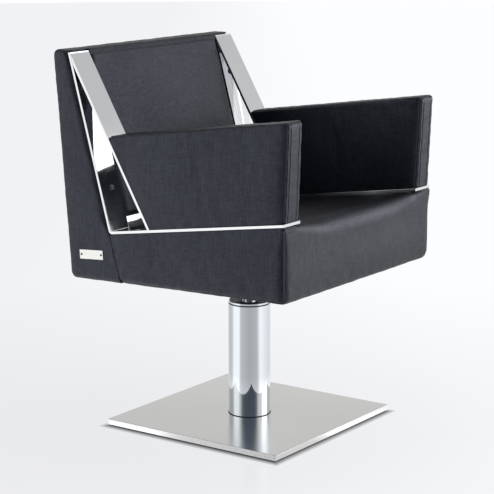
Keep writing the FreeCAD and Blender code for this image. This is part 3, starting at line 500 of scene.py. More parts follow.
def skin_rings(rings):
    """Solid through rings of equally many points, capped at both ends."""
    count, rows = len(rings[0]), len(rings)
    verts = [point for ring in rings for point in ring]
    faces = []
    for i in range(rows - 1):
        low, high = i * count, (i + 1) * count
        for k in range(count):
            after = (k + 1) % count
            faces.append((low + k, low + after, high + after, high + k))
    faces.append(tuple(range(count - 1, -1, -1)))
    faces.append(tuple((rows - 1) * count + k for k in range(count)))
    return verts, faces


def tube(path, radii, sides=10):
    """Closed round cord along a path, with a radius at each point."""
    tangents = np.gradient(path, axis=0)
    tangents /= np.linalg.norm(tangents, axis=1)[:, None]
    across = np.array([0.0, 0, 1]) if abs(tangents[0][2]) < 0.9 else np.array([1.0, 0, 0])
    rings = []
    for point, tangent, radius in zip(path, tangents, radii):
        a = np.cross(tangent, across)
        a /= np.linalg.norm(a)
        b = np.cross(tangent, a)
        turns = [2 * math.pi * k / sides for k in range(sides)]
        rings.append([point + radius * (math.cos(t) * a + math.sin(t) * b) for t in turns])
    return skin_rings(rings)


# ------------------------------------------------------------------ padded six-sided pieces
SIDES = ("x0", "x1")            # the -X and +X faces
PAIRS = (SIDES, ("front", "rear"), ("low", "high"))
AXIS_OF = {face: axis for axis, pair in enumerate(PAIRS) for face in pair}


def side_edges(**radii):
    """Edge radii where both side faces meet the named faces."""
    return {(side, face): radius for face, radius in radii.items() for side in SIDES}


class Pad:
    """A closed skin on the six faces of a prism: x0..x1 wide, with a four-cornered side
    profile given by its front, rear, low and high lines.

    radii holds a number or a function of the points for each pair of faces, default serves
    the pairs left out. primary lists (face, face, radius) edges that are rounded first.
    """

    def __init__(self, x0, x1, front, rear, low, high, radii, default=0.006, primary=()):
        self.x0, self.x1 = x0, x1
        self.lines = {"front": front, "rear": rear, "low": low, "high": high}
        self.radii, self.default, self.primary = radii, default, primary
        # corners[rear?][high?] = (y, z)
        self.corners = np.array([[crossing(front, low), crossing(front, high)],
                                 [crossing(rear, low), crossing(rear, high)]])

    def lengths(self):
        """Width, greatest front-to-rear length and greatest height."""
        c = self.corners
        size = np.linalg.norm
        return (self.x1 - self.x0,
                max(size(c[1, 0] - c[0, 0]), size(c[1, 1] - c[0, 1])),
                max(size(c[0, 1] - c[0, 0]), size(c[1, 1] - c[1, 0])))

    def radius(self, face, other, points):
        r = self.radii.get((face, other), self.radii.get((other, face), self.default))
        return r(points) if callable(r) else np.full(len(points), r)

    def lattice(self, marks):
        """Grid on the six faces from the fractions in marks, one list per axis. Gives the
        point number at each grid place, the points and the faces."""
        shape = tuple(len(m) for m in marks)
        index = -np.ones(shape, int)
        places = np.meshgrid(*(range(n) for n in shape), indexing="ij")
        surface = np.zeros(shape, bool)
        for place_on_axis, n in zip(places, shape):
            surface |= (place_on_axis == 0) | (place_on_axis == n - 1)
        index[surface] = np.arange(surface.sum())
        u, v, w = (m[p[surface]] for m, p in zip(marks, places))
        c = self.corners
        yz = ((1 - v)[:, None] * ((1 - w)[:, None] * c[0, 0] + w[:, None] * c[0, 1])
              + v[:, None] * ((1 - w)[:, None] * c[1, 0] + w[:, None] * c[1, 1]))
        points = np.column_stack([self.x0 + (self.x1 - self.x0) * u, yz])
        faces = []
        for grid, flip in ((index[0], True), (index[-1], False),
                           (index[:, 0], False), (index[:, -1], True),
                           (index[:, :, 0], True), (index[:, :, -1], False)):
            corners = [grid[:-1, :-1], grid[1:, :-1], grid[1:, 1:], grid[:-1, 1:]]
            quads = np.stack(corners, -1).reshape(-1, 4)
            faces.append(quads[:, ::-1] if flip else quads)
        return index, points, np.vstack(faces)

    def sign(self, face):
        """1 where the line's normal points into the prism, else -1."""
        normal, offset = self.lines[face]
        middle = np.mean(self.corners.reshape(-1, 2), 0)
        return 1 if middle @ np.array(normal) - offset > 0 else -1

    def inward(self, face):
        if face in SIDES:
            return np.array([1.0 if face == "x0" else -1.0, 0, 0])
        normal, s = self.lines[face][0], self.sign(face)
        return np.array([0, normal[0] * s, normal[1] * s])

    def insets(self, points):
        """Distance inward from each of the six faces."""
        inset = {"x0": points[:, 0] - self.x0, "x1": self.x1 - points[:, 0]}
        for face, (normal, offset) in self.lines.items():
            distance = points[:, 1] * normal[0] + points[:, 2] * normal[1] - offset
            inset[face] = distance * self.sign(face)
        return inset

    def rounded(self, points):
        """Pull the flat skin in round its edges. The two faces of a primary edge count as
        one rounded face there, so the edges that cross it wrap round it."""
        inset = self.insets(points)
        near, dist = [], []
        for first, second in PAIRS:
            pick = inset[first] <= inset[second]
            near.append(np.where(pick, first, second))
            dist.append(np.where(pick, inset[first], inset[second]))
        dist = np.array(dist)
        out = points.copy()
        merged = self.round_primary(points, inset, near, dist, out)
        self.round_others(points, near, dist, merged, out)
        return out, inset

    def round_primary(self, points, inset, near, dist, out):
        merged = np.zeros(len(points), bool)
        for p, q, radius in self.primary:
            cos = float(self.inward(p) @ self.inward(q))
            gap_p, gap_q = radius - inset[p], radius - inset[q]
            part_p = (gap_p - cos * gap_q) / (1 - cos * cos)
            part_q = (gap_q - cos * gap_p) / (1 - cos * cos)
            sel = (part_p > 1e-9) & (part_q > 1e-9)
            if not sel.any():
                continue
            merged |= sel
            gap_p, gap_q, part_p, part_q = (a[sel] for a in (gap_p, gap_q, part_p, part_q))
            chosen = points[sel]
            reach = np.sqrt((gap_p * gap_p + gap_q * gap_q - 2 * cos * gap_p * gap_q)
                            / (1 - cos * cos))
            normal = (part_p[:, None] * self.inward(p)
                      + part_q[:, None] * self.inward(q)) / reach[:, None]
            deep = radius - np.maximum(gap_p, gap_q)
            move = (reach - np.maximum(gap_p, gap_q))[:, None] * normal
            # the faces that close the ends of this edge
            third = ({0, 1, 2} - {AXIS_OF[p], AXIS_OF[q]}).pop()
            for end in PAIRS[third]:
                here = near[third][sel] == end
                if not here.any():
                    continue
                weight_p, weight_q = part_p[here] ** 2, part_q[here] ** 2
                r = (self.radius(end, p, chosen[here]) * weight_p
                     + self.radius(end, q, chosen[here]) * weight_q) / (weight_p + weight_q)
                from_end, from_skin = dist[third][sel][here], deep[here]
                on_end = from_end < ON_FACE
                g_skin = np.clip(1 - from_skin / r, 0, 1)
                g_end = np.clip(1 - from_end / r, 0, 1)
                len_skin, len_end = np.sqrt(1 + g_skin ** 2), np.sqrt(1 + g_end ** 2)
                along_end = np.where(on_end, (1 - 1 / len_skin) * r,
                                     (g_end - g_end / len_end) * r)
                along_skin = np.where(on_end, (g_skin - g_skin / len_skin) * r,
                                      (1 - 1 / len_end) * r)
                move[here] += (along_end[:, None] * self.inward(end)
                               + along_skin[:, None] * normal[here])
            out[sel] += move
        return merged

    def round_others(self, points, near, dist, merged, out):
        joined = {frozenset((p, q)) for p, q, _ in self.primary}
        on = np.argmin(dist, 0)
        for trio in itertools.product(*PAIRS):
            side, face_y, face_z = trio
            c = float(self.inward(face_y) @ self.inward(face_z))
            together = frozenset((face_y, face_z)) in joined
            block = ~merged
            for k in range(3):
                block = block & (near[k] == trio[k])
            for axis in range(3):
                sel = block & (on == axis)
                if not sel.any():
                    continue
                chosen = points[sel]
                ones = np.ones(len(chosen))
                own = trio[axis]
                r = [ones if k == axis else self.radius(own, face, chosen)
                     for k, face in enumerate(trio)]
                g0, g1, g2 = (ones if k == axis else 1 - dist[k][sel] / r[k] for k in range(3))
                g0 = np.clip(g0, 0, 1)
                if axis != 0 and frozenset((own, side)) in joined:
                    g0 = g0 * 0
                if axis == 0:
                    g1, g2 = (np.maximum(g1, c * np.maximum(g2, 0)),
                              np.maximum(g2, c * np.maximum(g1, 0)))
                    if frozenset((side, face_y)) in joined:
                        g1 = c * np.maximum(g2, 0)
                    if frozenset((side, face_z)) in joined:
                        g2 = c * np.maximum(g1, 0)
                elif axis == 1:
                    g2 = np.full(len(chosen), c) if together else np.maximum(g2, c)
                else:
                    g1 = np.full(len(chosen), c) if together else np.maximum(g1, c)
                parts = [g0, (g1 - c * g2) / (1 - c * c), (g2 - c * g1) / (1 - c * c)]
                length = np.sqrt(g0 ** 2 + (g1 ** 2 + g2 ** 2 - 2 * c * g1 * g2) / (1 - c * c))
                weight = [np.maximum(parts[k], 0) if k != axis else 0 for k in range(3)]
                total = np.maximum(sum(weight), 1e-9)
                r[axis] = sum(weight[k] * r[k] for k in range(3) if k != axis) / total
                for k, face in enumerate(trio):
                    pull = (1 - 1 / length) * parts[k] * r[k]
                    out[sel] += pull[:, None] * self.inward(face)


def hermite(coarse, fine):
    """Matrix that carries values at coarse stations smoothly to fine ones."""
    n = len(coarse)
    matrix = np.zeros((len(fine), n))
    for row, x in enumerate(fine):
        k = int(np.clip(np.searchsorted(coarse, x) - 1, 0, n - 2))
        h = coarse[k + 1] - coarse[k]
        t = (x - coarse[k]) / h
        matrix[row, k] += 2 * t ** 3 - 3 * t ** 2 + 1
        matrix[row, k + 1] += -2 * t ** 3 + 3 * t ** 2
        for knot, weight in ((k, t ** 3 - 2 * t ** 2 + t), (k + 1, t ** 3 - t ** 2)):
            before, after = max(knot - 1, 0), min(knot + 1, n - 1)
            slope = weight * h / (coarse[after] - coarse[before])
            matrix[row, after] += slope
            matrix[row, before] -= slope
    return matrix


def inflate(name, points, faces, pin, cap, frames=20):
    """Cloth with inner pressure, held where pin is 1. Gives how far each point moves,
    scaled to stay within cap."""
    ob = make_mesh(name + "_sim", points, faces)
    group = ob.vertex_groups.new(name="pin")
    pin_steps = np.round(pin, 2)
    for weight in np.unique(pin_steps):
        if weight > 0:
            held = [int(i) for i in np.where(pin_steps == weight)[0]]
            group.add(held, float(weight), "REPLACE")
    cloth = ob.modifiers.new("cloth", "CLOTH")
    s = cloth.settings
    s.quality = 5
    s.mass = 0.3
    s.air_damping = 3
    s.tension_stiffness = 30
    s.compression_stiffness = 30
    s.shear_stiffness = 12
    s.bending_stiffness = 2.0
    s.tension_damping = s.compression_damping = s.shear_damping = 15
    s.use_pressure = True
    s.uniform_pressure_force = 3.0
    s.shrink_min = -0.012
    s.vertex_group_mass = "pin"
    s.pin_stiffness = 1.0
    s.effector_weights.gravity = 0
    cloth.collision_settings.use_collision = False
    cloth.collision_settings.use_self_collision = False
    cloth.point_cache.frame_start, cloth.point_cache.frame_end = 1, frames
    scene = bpy.context.scene
    for f in range(1, frames + 1):
        scene.frame_set(f)
    mesh = ob.evaluated_get(bpy.context.evaluated_depsgraph_get()).to_mesh()
    co = np.empty(len(mesh.vertices) * 3)
    mesh.vertices.foreach_get("co", co)
    move = co.reshape(-1, 3) - points
    bpy.data.objects.remove(ob, do_unlink=True)
    scene.frame_set(1)
    size = np.linalg.norm(move, axis=1)
    big = np.percentile(size[pin < 0.5], 99) if (pin < 0.5).any() else 1
    move = move * min(1.0, cap / max(big, 1e-9))
    size = np.linalg.norm(move, axis=1)
    over = size > cap
    move[over] *= (cap / size[over])[:, None]
    return move


def spread(move, index, fine_index, marks, fine_marks):
    """Carry the moves of the coarse skin to the fine skin, face by face."""
    out = np.zeros((fine_index.max() + 1, 3))
    carry = [hermite(a, b) for a, b in zip(marks, fine_marks)]
    for axis in range(3):
        first, second = [k for k in range(3) if k != axis]
        for end in (0, -1):
            coarse, fine = index.take(end, axis), fine_index.take(end, axis)
            for c in range(3):
                out[fine, c] = carry[first] @ move[coarse, c] @ carry[second].T
    return out


# seam: groove along the edge of two faces. pucker: waves of the given length beside it.
Seam = namedtuple("Seam", "face other depth width")
Pucker = namedtuple("Pucker", "face other height reach wave")


def both_sides(kind, face, **sizes):
    return [kind(side, face, **sizes) for side in SIDES]


def edge_gap(inset, face, other):
    return np.sqrt(inset[face] ** 2 + inset[other] ** 2)


def side_inset(inset):
    return np.minimum(inset["x0"], inset["x1"])


def near_sides(inset, face, reach):
    """Points within reach of the edges where the side faces meet face."""
    return (edge_gap(inset, "x0", face) < reach) | (edge_gap(inset, "x1", face) < reach)


FINE_EDGE = [0, 0.0012, 0.0026, 0.0042, 0.006, 0.0084, 0.0115, 0.0155, 0.0205, 0.0260]
COARSE_EDGE = [0, 0.004, 0.009, 0.016, 0.025]


def build_skin(name, pad, pins, cap, seams, puckers, seed, step=0.006, sim_step=0.010,
               edge=FINE_EDGE, extra_x=None, calm=None, flatten=None, shape=None):
    """Leather of one soft piece: skin, rounding, cloth, seams and puckers.

    cap is the greatest swelling. calm = (face, other, start, stop) fades the swelling out
    towards an edge, flatten = (face, share, reach) takes a share of it off near a face.
    """
    marks = [stations(length, step, edge) for length in pad.lengths()]
    if extra_x:
        marks = [np.unique(np.round(np.concatenate([m, extra]), 6))
                 for m, extra in zip(marks, (extra_x, [], []))]
    index, points, faces = pad.lattice(marks)
    verts, inset = pad.rounded(points)
    sim_marks = [stations(length, sim_step, COARSE_EDGE) for length in pad.lengths()]
    sim_index, sim_points, sim_faces = pad.lattice(sim_marks)
    sim_verts, sim_inset = pad.rounded(sim_points)
    sim_move = inflate(name, sim_verts, sim_faces, pins(sim_points, sim_inset), cap)
    swell = spread(sim_move, sim_index, index, sim_marks, marks)
    swell *= (1 - 0.98 * np.clip(pins(points, inset), 0, 1))[:, None]
    if calm:
        face, other, start, stop = calm
        swell *= smoothstep(edge_gap(inset, face, other), start, stop)[:, None]
    if flatten:
        face, share, reach = flatten
        swell *= (1 - share * np.exp(-(inset[face] / reach) ** 2))[:, None]
    verts = verts + swell
    normals = normals_of(verts, faces)
    move = np.zeros(len(verts))
    for face, other, depth, width in seams:
        move -= depth * np.exp(-(edge_gap(inset, face, other) / width) ** 2)
    for face, other, height, reach, wave in puckers:
        gap = edge_gap(inset, face, other)
        move += (height * value_noise(points, 1.0 / wave, seed + 7)
                 * np.exp(-(gap / reach) ** 2) * smoothstep(gap, 0.0005, 0.004))
    move += 0.00035 * value_noise(points, 7.0, seed + 3)
    verts = verts + normals * move[:, None]
    if shape:
        verts = shape(verts, points, inset)
    return verts, faces, index


def soft_object(name, skin, cords, replaced, second=SEAM_HIGHLIT):
    """Leather skin with cords or bands in a second leather: a lighter copy with a painted
    highlight, or a darker copy with painted shade.
    """
    verts, faces, owner = merge([skin] + cords)
    ob = make_mesh(name, verts, faces)
    finish_piece(ob, [LEATHER, second], "seat", replaced)
    ob.data.polygons.foreach_set("material_index", [0 if k == 0 else 1 for k in owner])


FOAM_EDGE = [0, 0.002, 0.005, 0.009, 0.014, 0.020, 0.027, 0.035, 0.044]
FOAM_STEP = 0.010


def foam_marks(size):
    return [stations(length, FOAM_STEP, [e for e in FOAM_EDGE if e < length / 3])
            for length in size]


def foam_block(name, block, marks, replaced, shape=None):
    """Open foam with rounded edges, lying clear inside its leather."""
    _, points, faces = block.lattice(marks)
    verts, inset = block.rounded(points)
    if shape:
        shape(verts, inset)
    dents = (0.0003 + 0.0003 * value_noise(points, 40, 9))[:, None]
    verts = verts - normals_of(verts, faces) * dents * (inset["low"] > 1e-4)[:, None]
    finish_piece(make_mesh(name, verts, faces), [FOAM], "seat", replaced)


def smoothed(path):
    """A run of points with the small waves taken out and its ends kept."""
    path = path.copy()
    for _ in range(4):
        path[1:-1] = 0.25 * path[:-2] + 0.5 * path[1:-1] + 0.25 * path[2:]
    return path


def welts(skin, skip_low, skip_high, over=0):
    """Cords up both front edges, leaving out points at the ends. With over, each cord runs
    on along the top for that many points and a finer one lies beside it on the front."""
    verts, faces, index = skin
    normals = normals_of(verts, faces)
    rows = slice(skip_low, index.shape[2] - skip_high)
    # end of the grid, column of the finer cord and its radius
    cords = []
    for end, beside, fine_radius in ((0, 7, 0.0008), (-1, -8, 0.0006)):
        ids = list(index[end, 0, rows])
        if over:
            ids += list(index[end, 1:over, -1])
        path = smoothed(verts[ids] + normals[ids] * 0.0010)
        radii = np.full(len(ids), 0.0021)
        radii[:2] = [0.0012, 0.0017]
        if over:
            # the last points taper and sink into the leather
            radii[-6:] = np.linspace(0.0018, 0.0004, 6)
            path[-6:] -= normals[ids[-6:]] * np.linspace(0.0, 0.0012, 6)[:, None]
        cords.append(tube(path, radii))
        if over:
            ids = list(index[beside, 0, rows])
            path = smoothed(verts[ids] + normals[ids] * 0.0001)
            cords.append(tube(path, np.full(len(ids), fine_radius)))
    return cords


# ------------------------------------------------------------------ seat box
RIM = 0.024                 # width of leather turned in under the seat
RECESS_Z = 0.3592           # underside within the rim


def seat_front_radius(points):
    """Upper front edge: tight at the sides, full in the middle."""
    ax = np.abs(points[:, 0])
    return (0.005 + 0.013 * smoothstep(0.254 - ax, 0.0, 0.030)
            + 0.017 * smoothstep(0.228 - ax, 0.0, 0.110))


def seat_side_radius(points):
    return 0.005 + 0.013 * smoothstep(0.512 - points[:, 2], 0.0, 0.045)


def seat_pins(points, inset):
    on_top = inset["high"] < ON_FACE
    under_strap = on_top & (np.abs(points[:, 0]) > HALF - BAR - 0.003)
    held = (under_strap | (on_top & (inset["rear"] < 0.014)) | (inset["rear"] < 0.006)
            | (inset["low"] < ON_FACE)
            | near_sides(inset, "front", 0.003) | near_sides(inset, "high", 0.003))
    return held.astype(float)


def seat_shape(verts, points, inset):
    rear, front, high = inset["rear"], inset["front"], inset["high"]
    inner = (inset["low"] < ON_FACE) & (side_inset(inset) > RIM) & (front > RIM) & (rear > RIM)
    verts[inner, 2] = RECESS_Z
    # folds under the front ends of the straps, on the front face
    ax = np.abs(points[:, 0])
    wave = 0.0052 + 0.030 * np.clip(0.272 - ax, 0, 0.06)
    folds = np.sin(2 * math.pi * high / wave + 0.8)
    near = (front < ON_FACE) & (ax > 0.205)
    verts[near, 1] += (0.0011 * folds * np.exp(-(high / 0.017) ** 2)
                       * smoothstep(high, 0.0005, 0.004) * smoothstep(ax, 0.205, 0.240)
                       * (1 - 0.8 * smoothstep(ax, 0.268, 0.285)))[near]
    # and on the side faces
    side = side_inset(inset) < ON_FACE
    folds = np.sin(front * 2 * math.pi / 0.013 + high * 90)
    verts[side, 0] -= (np.sign(points[:, 0]) * 0.0010 * folds * np.exp(-(high / 0.018) ** 2)
                       * np.exp(-(front / 0.05) ** 2))[side]
    return verts


def seat_upholstery():
    seat = Pad(-HALF, HALF, SEAT_FRONT, LEG, SKIRT, SEAT_TOP,
               side_edges(front=seat_side_radius, high=0.003, rear=0.0012, low=0.0001)
               | {("front", "high"): seat_front_radius, ("front", "low"): 0.014,
                  ("rear", "high"): 0.003, ("rear", "low"): 0.003},
               primary=[("x0", "low", 0.015), ("x1", "low", 0.021)])
    # extra lines across the width at the rim and the strap edge, from both sides
    lines = [(RIM + 0.0004 * k) / (2 * HALF) for k in (-1, 1)]
    lines += [(BAR + 0.0035 * k) / (2 * HALF) for k in (-1, 0, 1)]
    skin = build_skin(
        "seat", seat, seat_pins, cap=0.007, seed=11, shape=seat_shape,
        seams=both_sides(Seam, "front", depth=0.0012, width=0.0026)
        + both_sides(Seam, "low", depth=0.0003, width=0.004),
        puckers=both_sides(Pucker, "front", height=0.0007, reach=0.016, wave=0.016)
        + both_sides(Pucker, "high", height=0.0006, reach=0.014, wave=0.020)
        + both_sides(Pucker, "rear", height=0.0006, reach=0.014, wave=0.022)
        + both_sides(Pucker, "low", height=0.0004, reach=0.020, wave=0.030)
        + [Pucker("front", "low", height=0.0004, reach=0.020, wave=0.034)],
        extra_x=lines + [1 - x for x in lines],
        calm=("front", "high", 0.044, 0.130), flatten=("high", 0.45, 0.05))
    soft_object("seat_upholstery", skin[:2], welts(skin, 4, 4), "seat_cover")


def seat_foam():
    def foam_front_radius(points):
        return seat_front_radius(points) + 0.004

    def step_over_rail(verts, inset):
        """The block steps up over the low front rail."""
        verts[(inset["low"] < ON_FACE) & (verts[:, 1] < -0.262), 2] = 0.4305

    half = 0.264
    block = Pad(-half, half, moved(SEAT_FRONT, -0.0060), moved(LEG, 0.0232),
                line_at(90, 0, 0.3730), moved(SEAT_TOP, -0.0058),
                side_edges(high=0.006)
                | {("front", "high"): foam_front_radius, ("rear", "high"): 0.006}, 0.003)
    marks = [stations(2 * half, FOAM_STEP, FOAM_EDGE[:4]), stations(0.42, FOAM_STEP, FOAM_EDGE),
             stations(0.13, FOAM_STEP, FOAM_EDGE)]
    foam_block("seat_foam_block", block, marks, "seat_foam", step_over_rail)


CLOTH_Z = 0.3570            # lower face of the underside cloth


def underside_cloth():
    """Thin sagging sheet with a square opening round the mount."""
    half, hole, front, rear, thick = 0.2632, 0.102, -0.2653, 0.1070, 0.0006
    across = np.linspace(-hole, hole, 19)
    xs = np.unique(np.round(np.concatenate([np.linspace(-half, -hole, 17), across,
                                            np.linspace(hole, half, 17)]), 5))
    ys = np.unique(np.round(np.concatenate([np.linspace(front, -hole, 17), across,
                                            np.linspace(hole, rear, 3)]), 5))
    X, Y = np.meshgrid(xs, ys, indexing="ij")
    edge_in = np.minimum.reduce([X + half, half - X, Y - front, rear - Y])
    hole_out = np.maximum(np.maximum(np.abs(X), np.abs(Y)) - hole, 0)
    free = np.clip(np.minimum(edge_in, hole_out) / 0.05, 0, 1)
    points = np.column_stack([X.ravel(), Y.ravel(), np.zeros(X.size)])
    ripple = value_noise(points, 30, 13) * smoothstep(edge_in.ravel(), 0.002, 0.02)
    sag = 0.0022 * smoothstep(free.ravel(), 0, 1) + 0.00035 * ripple
    points[:, 2] = CLOTH_Z - np.maximum(sag, 0)

    grid = np.arange(X.size).reshape(X.shape)
    quads = []
    for i in range(len(xs) - 1):
        for j in range(len(ys) - 1):
            middle_x, middle_y = (xs[i] + xs[i + 1]) / 2, (ys[j] + ys[j + 1]) / 2
            if abs(middle_x) > hole or abs(middle_y) > hole:
                quads.append((grid[i, j], grid[i, j + 1], grid[i + 1, j + 1], grid[i + 1, j]))
    used = sorted({int(k) for quad in quads for k in quad})
    number = {k: n for n, k in enumerate(used)}
    quads = [[number[int(k)] for k in quad] for quad in quads]
    top = [tuple(points[k] + np.array([0, 0, thick])) for k in used]
    bottom = [tuple(points[k]) for k in used]
    n = len(used)
    faces = [tuple(k + n for k in quad) for quad in quads]
    faces += [tuple(quad[::-1]) for quad in quads]
    # walls where an edge belongs to one quad only
    edges = [pair for quad in quads for pair in zip(quad, quad[1:] + quad[:1])]
    shared = set(edges)
    faces += [(b + n, a + n, a, b) for a, b in edges if (b, a) not in shared]
    finish_piece(make_mesh("underside_cloth", top + bottom, faces), [LINING], "seat",
                 "dust_cover")


def staple(x, y, turn):
    """Flat staple crown standing a hair proud of the cloth."""
    cos, sin = math.cos(turn), math.sin(turn)
    verts, faces = [], []
    for along, drop in ((-0.0050, 0.0), (-0.0046, -0.0007), (0.0046, -0.0007), (0.0050, 0.0)):
        for side in (-0.0005, 0.0005):
            for rise in (0.0, 0.0006):
                verts.append((x + cos * along - sin * side, y + sin * along + cos * side,
                              CLOTH_Z + 0.0001 + drop + rise))
    for a in (0, 4, 8):
        faces += [(a, a + 4, a + 6, a + 2), (a + 1, a + 3, a + 7, a + 5),
                  (a, a + 1, a + 5, a + 4), (a + 2, a + 6, a + 7, a + 3)]
    return verts, faces + [(0, 2, 3, 1), (12, 13, 15, 14)]


def underside_staples():
    pitch = 0.05
    parts = []
    for k in range(11):
        x = -0.25 + pitch * k
        parts += [staple(x, -0.2590, 0.12 * math.sin(k * 5.1)),
                  staple(x, 0.1030, 0.10 * math.sin(k * 3.7))]
    for k in range(7):
        y = -0.225 + pitch * k
        parts += [staple(-0.2585, y, math.pi / 2 + 0.1 * math.sin(k * 4.3)),
                  staple(0.2585, y, math.pi / 2 + 0.1 * math.sin(k * 2.9))]
    build_piece("underside_staples", parts, ZINC, "seat", None, smooth=False)


seat_upholstery()
seat_foam()
underside_cloth()
underside_staples()


# ------------------------------------------------------------------ wedge back
def near_plate(points):
    """1 under the side plate, fading to 0 round it."""
    y, z = points[:, 1] - PLATE_Y, points[:, 2] - PLATE_Z
    cos, sin = math.cos(PLATE_TILT), math.sin(PLATE_TILT)
    out_y = np.maximum(np.abs(y * cos - z * sin) - 0.032, 0)
    out_z = np.maximum(np.abs(y * sin + z * cos) - 0.010, 0)
    return 1 - smoothstep(np.sqrt(out_y ** 2 + out_z ** 2), 0.002, 0.022)


def wedge_pins(points, inset):
    held = ((inset["front"] < ON_FACE) | (inset["low"] < ON_FACE)
            | near_sides(inset, "rear", 0.003)).astype(float)
    held = np.maximum(held, (edge_gap(inset, "high", "rear") < 0.003) * 0.9)
    return np.maximum(held, (inset["x0"] < ON_FACE) * near_plate(points))


def wedge_front_radius(points):
    """Nearly square beside the seat, rounded above it."""
    return 0.0012 + 0.0158 * smoothstep(points[:, 2], 0.440, 0.480)


def back_upholstery():
    wedge = Pad(-HALF, HALF, LEG, REAR, SKIRT, BACK_TOP,
                side_edges(front=wedge_front_radius, rear=0.015, high=0.010, low=0.012)
                | {("rear", "high"): 0.0001, ("rear", "low"): 0.0001,
                   ("front", "high"): 0.004, ("front", "low"): 0.003},
                primary=[("rear", "low", 0.016), ("rear", "high", 0.015)])
    skin = build_skin(
        "back", wedge, wedge_pins, cap=0.0055, seed=23,
        seams=both_sides(Seam, "rear", depth=0.0012, width=0.0022)
        + [Seam("rear", "high", depth=0.0012, width=0.0022)],
        puckers=both_sides(Pucker, "rear", height=0.00025, reach=0.014, wave=0.020)
        + both_sides(Pucker, "front", height=0.0006, reach=0.018, wave=0.030)
        + [Pucker("rear", "high", height=0.0003, reach=0.014, wave=0.022)]
        + both_sides(Pucker, "low", height=0.0004, reach=0.022, wave=0.030))
    soft_object("back_upholstery", skin[:2], [], "back_cover")


# ------------------------------------------------------------------ back pad and its top band
PAD_HALF = HALF - BAR - 0.0005


def back_pad_pins(points, inset):
    held = ((inset["rear"] < 0.016) | (side_inset(inset) < 0.0015)
            | (inset["high"] < 0.0015) | (inset["low"] < 0.0015))
    return held.astype(float)


def top_band():
    band = Pad(-PAD_HALF, PAD_HALF, moved(LEG, 0.0068), moved(LEG, -0.016),
               line_at(90, 0, 0.8165), line_at(90, 0, 0.8308),
               side_edges(front=0.004) | {("front", "high"): 0.005, ("front", "low"): 0.002},
               0.0015)
    marks = [stations(2 * PAD_HALF, 0.006, [0, 0.001, 0.002, 0.0035, 0.006]),
             stations(0.024, 0.003, [0, 0.001, 0.002, 0.0035, 0.005]),
             stations(0.0143, 0.0015, [0, 0.0007, 0.0015, 0.0024])]
    _, points, faces = band.lattice(marks)
    verts, inset = band.rounded(points)
    waves = 0.00045 * value_noise(points, 28, 5) * (inset["front"] < 0.004)
    return verts + normals_of(verts, faces) * waves[:, None], faces


def back_pad():
    pad = Pad(-PAD_HALF, PAD_HALF, moved(LEG, 0.009), moved(LEG, -0.018),
              moved(LEG_SQUARE, 0.0315), line_at(90, 0, 0.8212),
              side_edges(front=0.014, high=0.012)
              | {("front", "high"): 0.005, ("front", "low"): 0.010}, 0.002)
    skin = build_skin(
        "pad", pad, back_pad_pins, cap=0.005, seed=31,
        edge=[0, 0.0012, 0.0026, 0.0042, 0.006, 0.0084, 0.0112],
        seams=[Seam("front", "high", depth=0.0016, width=0.0022)],
        puckers=[Pucker("front", "high", height=0.0005, reach=0.014, wave=0.020)]
        + both_sides(Pucker, "front", height=0.0005, reach=0.012, wave=0.022))
    soft_object("back_pad_upholstery", skin[:2], [top_band()], "back_pad", BAND_SHADED)
    block = Pad(-PAD_HALF + 0.008, PAD_HALF - 0.008, moved(LEG, 0.0020), moved(LEG, -0.0178),
                moved(LEG_SQUARE, 0.040), line_at(90, 0, 0.8225),
                side_edges(front=0.010) | {("front", "high"): 0.008}, 0.003)
    foam_block("back_foam_block", block, foam_marks((0.436, 0.020, 0.35)), "back_foam")


back_upholstery()
back_pad()


# ------------------------------------------------------------------ arms
def arm_pins(points, inset):
    held = ((inset["low"] < ON_FACE) | (inset["rear"] < ON_FACE)
            | near_sides(inset, "front", 0.003) | near_sides(inset, "high", 0.002))
    return held.astype(float)


def arm_shape(verts, points, inset):
    """Side faces curve in towards the seam on their front edge."""
    verts[:, 0] -= (np.sign(inset["x0"] - inset["x1"]) * 0.0042
                    * np.exp(-(inset["front"] / 0.0105) ** 2)
                    * np.exp(-(side_inset(inset) / 0.006) ** 2))
    return verts


def build_arm(side, x0, seed):
    arm = Pad(x0, x0 + BAR, ARM_FRONT, BRACE, STRAP_TOP, ARM_TOP,
              side_edges(front=0.007, high=0.007, low=0.003, rear=0.003)
              | {("front", "high"): 0.0001, ("front", "low"): 0.004,
                 ("rear", "high"): 0.006, ("rear", "low"): 0.002},
              primary=[("front", "high", 0.009)])
    skin = build_skin(
        "arm_" + side, arm, arm_pins, cap=0.0035, seed=seed, step=0.005, sim_step=0.009,
        seams=both_sides(Seam, "front", depth=0.0026, width=0.0034)
        + both_sides(Seam, "high", depth=0.0008, width=0.0020),
        puckers=both_sides(Pucker, "front", height=0.0005, reach=0.012, wave=0.016)
        + both_sides(Pucker, "high", height=0.0004, reach=0.010, wave=0.018)
        + both_sides(Pucker, "low", height=0.0005, reach=0.010, wave=0.020),
        shape=arm_shape)
    soft_object("arm_%s_upholstery" % side, skin[:2], welts(skin, 1, 0, over=16),
                "arm_cover_" + side)
    inset = 0.0070
    block = Pad(x0 + inset, x0 + BAR - inset, moved(ARM_FRONT, -0.0075), moved(BRACE, 0.0060),
                moved(STRAP_TOP, 0.0006), moved(ARM_TOP, -0.0065),
                side_edges(front=0.010, high=0.009) | {("front", "high"): 0.012}, 0.003)
    foam_block("arm_foam_block_" + side, block, foam_marks((0.046, 0.40, 0.24)),
               "arm_foam_" + side)


build_arm("left", HALF - BAR, seed=41)
build_arm("right", -HALF, seed=57)


# ------------------------------------------------------------------ hardware
def hexagon(radius, z, count):
    """Hexagonal ring of count points; radius reaches its corners."""
    ring = []
    for k in range(count):
        t = 2 * math.pi * k / count
        from_flat = (t % (math.pi / 3)) - math.pi / 6
        r = radius * math.cos(math.pi / 6) / math.cos(from_flat)
        ring.append((r * math.cos(t), r * math.sin(t), z))
    return ring


